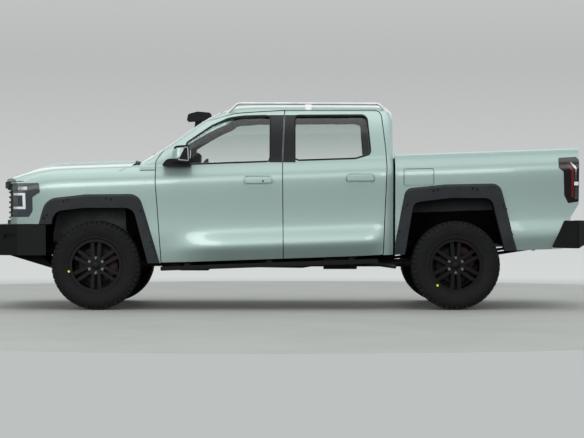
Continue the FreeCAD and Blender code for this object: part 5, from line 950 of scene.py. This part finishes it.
def build_wipers():
    """Two wipers at rest on the windscreen's foot, and the rims printed round the fixed windows."""
    glass = ["fixed_glass"]
    for name, y0, y1 in (("left", -0.62, -0.02), ("right", 0.02, 0.6)):
        line = [(-1.235, y0), (-1.252, (y0 + y1) / 2), (-1.262, y1)]
        blade = [(x - 0.007, y) for x, y in line] + [(x + 0.007, y) for x, y in reversed(line)]
        rubber = ("extruded_epdm", "seal_rubber")
        skin(f"wiper_blade_{name}", blade, from_above, glass, 0.016, *rubber, spacing=0.04)
    for name, end in (("front", -1), ("rear", 1)):
        loop = hull_of("fixed_glass", (1, 2), 0.04, end)
        frit = ("ceramic_frit", "trim_plastic")
        band(f"frit_{name}", loop, -0.045, -0.001, from_end(end), glass, 0.0012, *frit)


def build_mirrors():
    """Painted caps, silver frames and glass on the mirrors."""
    side_cap = (
        (-1.045, 1.408), (-1.03, 1.462), (-0.995, 1.498), (-0.925, 1.506), (-0.945, 1.45), (-0.985, 1.4)
    )
    front_cap = ((0.985, 1.405), (1.125, 1.402), (1.13, 1.49), (1.115, 1.512), (0.985, 1.512))
    glass = ((0.99, 1.392), (1.118, 1.392), (1.122, 1.5), (0.995, 1.505))
    edge = [Vector(p) for p in ((-0.916, 1.499), (-0.892, 1.503), (-0.886, 1.388), (-0.967, 1.394))]
    for side_name, side in SIDES:
        node, body, beside = [f"mirror_{side_name}"], f"door_front_{side_name}_body", from_side(side)
        paint = ("mint_pearl_lacquer", "body_paint", body)
        skin(f"mirror_cap_side_{side_name}", side_cap, beside, node, 0.0025, *paint, 0.015)
        outline = [(side * y, z) for y, z in front_cap]
        skin(f"mirror_cap_front_{side_name}", outline, from_end(-1), node, 0.0025, *paint, 0.02)
        silver = ("satin_anodised_aluminium", "silver", body)
        band(f"mirror_frame_{side_name}", fill(edge, 0.012), -0.009, 0.0, beside, node, 0.004, *silver)
        outline = [(side * y, z) for y, z in glass]
        silvered = ("silvered_mirror_glass", "glass", body)
        skin(f"mirror_glass_{side_name}", outline, from_end(1), node, 0.002, *silvered)


def build_tyre_marks():
    """Yellow paint dots on the tyres' outer walls."""
    spots = {FRONT_AXLE: (-0.975, -0.22), REAR_AXLE: (-0.68, -0.733)}
    for wheel, _, x, place in wheels():
        u, v = (0.253 * share for share in spots[x])
        points, faces = prism(oval(u, v, 0.011, 0.011, 14), -0.1262, -0.12)
        dot = ([place @ Vector(p) for p in points], faces)
        piece(f"tyre_mark_{wheel}", dot, "marking_paint_yellow", "tyre_rubber", f"wheel_{wheel}_body")


# Cabin


CROWN, PINCH, BOLSTER = 0.012, 0.01, 0.018  # how far the pads swell, pull in and rise along their sides


def cushion(name, size, place, channels):
    """A crowned pad: a fine box whose faces swell and whose sides pull in, with sewn channels."""
    length, width, depth = size
    nx, ny, nz = 28, 28, 6
    vertices, index, faces = [], {}, []

    def corner(i, j, k):
        key = (i, j, k)
        if key not in index:
            u, v, w = 2 * i / nx - 1, 2 * j / ny - 1, 2 * k / nz - 1
            fall = (1 - u ** 4) * (1 - v ** 4)
            rim_u, rim_v = 1 - abs(u) ** 6, 1 - abs(v) ** 6
            x = u * length / 2 * (1 - PINCH / length * 2 * (1 - v * v) * (abs(u) > 0.98))
            y = v * width / 2 * (1 - PINCH / width * 2 * (1 - u * u) * (abs(v) > 0.98))
            z = w * depth / 2 * (0.55 + 0.45 * (rim_u * rim_v) ** 0.35)
            if w > 0:
                z += CROWN * fall * w
                z += BOLSTER * (max(0, abs(v) - 0.55) / 0.45) ** 1.5 * rim_v * rim_u * w
                turns = v * channels * 0.5 % 1
                seam = min(turns, 1 - turns) if abs(v) < 0.55 else 0.5
                z -= 0.007 * math.exp(-(seam / 0.07) ** 2) * w * fall
                edge_seam = abs(abs(v) - 0.57)
                z -= 0.009 * math.exp(-(edge_seam / 0.025) ** 2) * w * fall
            index[key] = len(vertices)
            vertices.append(place @ Vector((x, y, z)))
        return index[key]

    for i in range(nx):
        for j in range(ny):
            for k in (0, nz):
                across = (corner(i, j, k), corner(i + 1, j, k), corner(i + 1, j + 1, k), corner(i, j + 1, k))
                faces.append(across)
    for k in range(nz):
        for i in range(nx):
            for j in (0, ny):
                end = (corner(i, j, k), corner(i + 1, j, k), corner(i + 1, j, k + 1), corner(i, j, k + 1))
                faces.append(end)
        for j in range(ny):
            for i in (0, nx):
                end = (corner(i, j, k), corner(i, j + 1, k), corner(i, j + 1, k + 1), corner(i, j, k + 1))
                faces.append(end)
    made = piece(name, (vertices, faces), "woven_polyester", "seat_fabric")
    return made


def build_seats():
    """Front seats and rear bench as sewn pads on the space of the plain ones."""
    for seat, x0, y0, y1, deep, top, columns in (
        ("front_left", -0.6, -0.61, -0.11, 0.56, 1.4, 5), ("front_right", -0.6, 0.11, 0.61, 0.56, 1.4, 5),
        ("rear", 0.2, -0.64, 0.64, 0.52, 1.385, 9),
    ):
        floor = 0.667 + 0.035 * x0
        wide, middle = y1 - y0 - 0.012, (y0 + y1) / 2
        lean = math.atan2(deep * 0.2, top - floor - 0.24)
        tall = (top - floor - 0.22) * 0.97
        tilt = Matrix.Rotation(math.radians(2), 4, "Y")
        place = Matrix.Translation((x0 + deep * 0.4, middle, floor + 0.175)) @ tilt
        pad = cushion(f"seat_cushion_{seat}", (deep * 0.8, wide, 0.1), place, columns)
        tilt = Matrix.Rotation(lean - math.pi / 2, 4, "Y")
        place = Matrix.Translation((x0 + deep * 0.905, middle, floor + 0.225 + tall / 2)) @ tilt
        cushion(f"seat_back_{seat}", (tall, wide, 0.085), place, columns)
        plinth = [
            (x0 + 0.02, floor + 0.002), (x0 + deep * 0.93, floor + 0.004), (x0 + deep * 0.92, floor + 0.14),
            (x0, floor + 0.14),
        ]
        foot = piece(f"seat_base_{seat}", prism(plinth, y0 + 0.02, y1 - 0.02), *BLACK)
        bevel = foot.modifiers.new("rounded", "BEVEL")
        bevel.width, bevel.segments = 0.012, 3
        if seat == "front_left":
            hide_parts("seats")


def build_dashboard_fittings():
    """Screens, vents, the glove box and a row of controls."""
    dash = ["dashboard"]
    for name, outline, thick, material in (
        ("driver_screen", rect(-0.5, -0.22, 1.2, 1.285), 0.012, "dark_screen_glass"),
        ("centre_screen", rect(-0.17, 0.17, 1.13, 1.285), 0.014, "dark_screen_glass"),
        ("vent_left", rect(-0.72, -0.57, 1.19, 1.26), 0.006, "moulded_abs_black"),
        ("vent_right", rect(0.57, 0.72, 1.19, 1.26), 0.006, "moulded_abs_black"),
        ("glove_box", rect(0.24, 0.62, 1.06, 1.16), 0.005, "soft_touch_pvc"),
        ("control_row", rect(-0.15, 0.15, 1.06, 1.1), 0.006, "satin_black_wheel_lacquer"),
    ):
        skin(f"dash_{name}", outline, from_cabin, dash, thick, material, "trim_plastic", spacing=0.05)


# Stage


def build_stage(look):
    """Floor, background, lights and the camera at the photograph's angle."""
    scene = bpy.context.scene
    scene.view_settings.view_transform = "Standard"
    # Sealed studio floor: pale grey, faintly glossy under the tyres.
    tree, shader, place = surface("sealed_studio_floor", Roughness=0.7, Specular_IOR_Level=0.2)
    # Rays other than the camera's find the floor dark: painted shade and dark reflections on the truck's
    # lower sides.
    seen = add(tree, "LightPath").outputs["Is Camera Ray"]
    pale = varied(tree, place, 1.2, "#A3A6A2", "#A9ACA8")
    shaded_bounce = add(tree, "MixRGB", {0: seen, 1: srgb("#4A4E4D"), 2: pale})
    tree.links.new(shaded_bounce.outputs[0], shader.inputs["Base Color"])
    tree.links.new(varied(tree, place, 3, 0.66, 0.74), shader.inputs["Roughness"])
    edge = [(u, v, 0) for u, v in oval(0, 0, look.floor_radius, look.floor_radius, 128)]
    mesh = bpy.data.meshes.new("studio_floor")
    mesh.from_pydata([(0, 0, 0)] + edge, [], [(0, i + 1, (i + 1) % len(edge) + 1) for i in range(len(edge))])
    floor = bpy.data.objects.new("studio_floor", mesh)
    mesh.materials.append(MATERIALS["sealed_studio_floor"])
    scene.collection.objects.link(floor)

    world = bpy.data.worlds.new("studio")
    scene.world = world
    world.use_nodes = True
    tree = world.node_tree
    tree.nodes.clear()
    way = add(tree, "TexCoord").outputs["Generated"]
    up = add(tree, "SeparateXYZ", {0: way}).outputs["Z"]
    # The floor's tone below its edge, the wall above it, a little lighter near the floor.
    wall = gradient(tree, up, 0.5, (
        (0.0, "#BDC1C0"), (0.4615, "#BDC1C0"), (0.463, "#D4D8D6"), (0.58, "#B9BBBA"), (1.0, "#B4B6B5")
    ))
    shown = add(tree, "Background", {"Color": wall, "Strength": 1.0})
    # The truck is lit by a bright band of wall above a dark floor, with a dimmer ceiling.
    glow = gradient(tree, up, 1.0, (
        (0.0, "#2C2F2E"), (0.5, "#3A3E3D"), (0.53, "#9BA1A1"), (0.57, "#FFFFFF"), (0.7, "#FFFFFF"),
        (0.77, "#858D8D"), (1.0, "#525959")
    ))
    lit = add(tree, "Background", {"Color": glow, "Strength": look.fill_light})
    path = add(tree, "LightPath").outputs
    seen = combined(tree, "MAXIMUM", path["Is Camera Ray"], path["Is Transmission Ray"])
    both = add(tree, "MixShader", {0: seen, 1: lit.outputs[0], 2: shown.outputs[0]})
    add(tree, "OutputWorld", {"Surface": both.outputs[0]})

    for name, place, size, power, aim in (
        ("ceiling_softbox", (0.0, -0.6, 6.5), (14.0, 10.0), look.ceiling_light, (0, -0.2, 0)),
        ("front_softbox", (-4.4, -12.5, 2.6), (5.4, 3.4), look.side_light, (-1.5, -0.5, 1.1)),
        ("rear_softbox", (2.6, -12.5, 2.6), (1.8, 3.4), look.side_light * 0.33, (1.5, -0.5, 1.1)),
    ):
        lamp = bpy.data.lights.new(name, "AREA")
        lamp.shape = "RECTANGLE"
        lamp.size, lamp.size_y = size
        lamp.energy = power
        obj = bpy.data.objects.new(name, lamp)
        obj.location = place
        obj.rotation_euler = (Vector(aim) - Vector(place)).to_track_quat("-Z", "Y").to_euler()
        scene.collection.objects.link(obj)

    camera = bpy.data.cameras.new("camera")
    camera.lens = 112.9
    camera.sensor_width = 36
    camera.clip_end = 200
    obj = bpy.data.objects.new("camera", camera)
    obj.location = (0.071, -17.97, 0.905)
    obj.rotation_euler = (math.radians(89.8), 0, 0)
    scene.collection.objects.link(obj)
    scene.camera = obj


# Add-on


class TruckColours(bpy.types.PropertyGroup):
    """Colours that a user would change."""

    paint: bpy.props.FloatVectorProperty(
        name="Paint", description="Body colour", subtype="COLOR", min=0, max=1, default=srgb("#A9C0BB")[:3]
    )
    caliper_low: bpy.props.StringProperty(
        name="Caliper shade", description="Darker caliper colour, as hex", default="#2E0809"
    )
    caliper_high: bpy.props.StringProperty(
        name="Caliper colour", description="Caliper colour, as hex", default="#420C0E"
    )


class TruckSizes(bpy.types.PropertyGroup):
    """Sizes that a user would change."""

    tread_pitches: bpy.props.IntProperty(
        name="Tread pitches", description="Blocks round each tyre", default=52, min=20, max=90
    )
    surround: bpy.props.FloatProperty(
        name="Window surround", description="Width of the strip round windows", default=0.016, unit="LENGTH"
    )


class TruckStage(bpy.types.PropertyGroup):
    """Light and floor."""

    floor_radius: bpy.props.FloatProperty(
        name="Floor radius", description="Radius of the studio floor", default=6.25, unit="LENGTH"
    )
    fill_light: bpy.props.FloatProperty(
        name="Fill light", description="Strength of the light from all round", default=1.25
    )
    ceiling_light: bpy.props.FloatProperty(
        name="Ceiling light", description="Power of the softbox above", default=200, unit="POWER"
    )
    side_light: bpy.props.FloatProperty(
        name="Side light", description="Power of the softbox beside the nose", default=300, unit="POWER"
    )


class Builder:
    """What the operators share: each builds its pieces from the scene's settings."""

    def execute(self, context):
        self.build(context.scene)
        return {"FINISHED"}


class TRUCK_OT_materials(Builder, bpy.types.Operator):
    """Makes every finish and puts it on the construction model"""

    bl_idname = "truck.materials"
    bl_label = "Finishes"

    def build(self, scene):
        paint_materials(scene.truck_colours)
        coated_materials()
        metal_materials()
        coloured_materials(scene.truck_colours)
        cloth_material()
        glass_material()
        finish_nodes()


class TRUCK_OT_tyres(Builder, bpy.types.Operator):
    """Builds the tyres with their treads"""

    bl_idname = "truck.tyres"
    bl_label = "Tyres"

    def build(self, scene):
        build_tyres(scene.truck_sizes)


class TRUCK_OT_wheel_hardware(Builder, bpy.types.Operator):
    """Builds wheel nuts, centre caps, brake calipers, backing plates and arch aprons"""

    bl_idname = "truck.wheel_hardware"
    bl_label = "Wheel hardware"

    def build(self, scene):
        build_wheel_hardware()


class TRUCK_OT_window_trim(Builder, bpy.types.Operator):
    """Lays the black strips and covers round the windows"""

    bl_idname = "truck.window_trim"
    bl_label = "Window trim"

    def build(self, scene):
        build_window_trim(scene.truck_sizes)


class TRUCK_OT_lamps(Builder, bpy.types.Operator):
    """Lays light guides and surrounds on the head and tail lamps"""

    bl_idname = "truck.lamps"
    bl_label = "Lamps"

    def build(self, scene):
        build_headlamps()
        build_tail_lamps()


class TRUCK_OT_fittings(Builder, bpy.types.Operator):
    """Adds bolts, bumper and tailgate fittings, wipers, mirrors' faces and tyre marks"""

    bl_idname = "truck.fittings"
    bl_label = "Fittings"

    def build(self, scene):
        build_fasteners()
        build_bumper_fittings()
        build_tailgate_fittings()
        build_wipers()
        build_mirrors()
        build_tyre_marks()


class TRUCK_OT_cabin(Builder, bpy.types.Operator):
    """Sews the seats and fits out the dashboard"""

    bl_idname = "truck.cabin"
    bl_label = "Cabin"

    def build(self, scene):
        build_seats()
        build_dashboard_fittings()


class TRUCK_OT_stage(Builder, bpy.types.Operator):
    """Sets the floor, the lights and the camera"""

    bl_idname = "truck.stage"
    bl_label = "Stage"

    def build(self, scene):
        build_stage(scene.truck_stage)


class TRUCK_PT_looks(bpy.types.Panel):
    """Lists the truck's pieces and their settings"""

    bl_idname = "TRUCK_PT_looks"
    bl_label = "Truck looks"
    bl_space_type = "VIEW_3D"
    bl_region_type = "UI"
    bl_category = "Truck"

    def draw(self, context):
        for group in (context.scene.truck_colours, context.scene.truck_sizes, context.scene.truck_stage):
            for name in group.bl_rna.properties.keys():
                if name not in ("rna_type", "name"):
                    self.layout.prop(group, name)
        for operator in OPERATORS:
            self.layout.operator(operator.bl_idname)


OPERATORS = (
    TRUCK_OT_materials, TRUCK_OT_tyres, TRUCK_OT_wheel_hardware, TRUCK_OT_window_trim, TRUCK_OT_lamps,
    TRUCK_OT_fittings, TRUCK_OT_cabin, TRUCK_OT_stage,
)
GROUPS = (("truck_colours", TruckColours), ("truck_sizes", TruckSizes), ("truck_stage", TruckStage))


def register():
    """Registers the classes and their settings."""
    for cls in [group for _, group in GROUPS] + list(OPERATORS) + [TRUCK_PT_looks]:
        bpy.utils.register_class(cls)
    for name, group in GROUPS:
        setattr(bpy.types.Scene, name, bpy.props.PointerProperty(type=group))


def unregister():
    """Removes them again."""
    for name, _ in GROUPS:
        delattr(bpy.types.Scene, name)
    for cls in [TRUCK_PT_looks] + list(OPERATORS)[::-1] + [group for _, group in GROUPS][::-1]:
        bpy.utils.unregister_class(cls)


def main():
    """Builds every piece in order."""
    register()
    for operator in OPERATORS:
        group, name = operator.bl_idname.split(".")
        getattr(getattr(bpy.ops, group), name)()


if __name__ == "__main__":
    main()
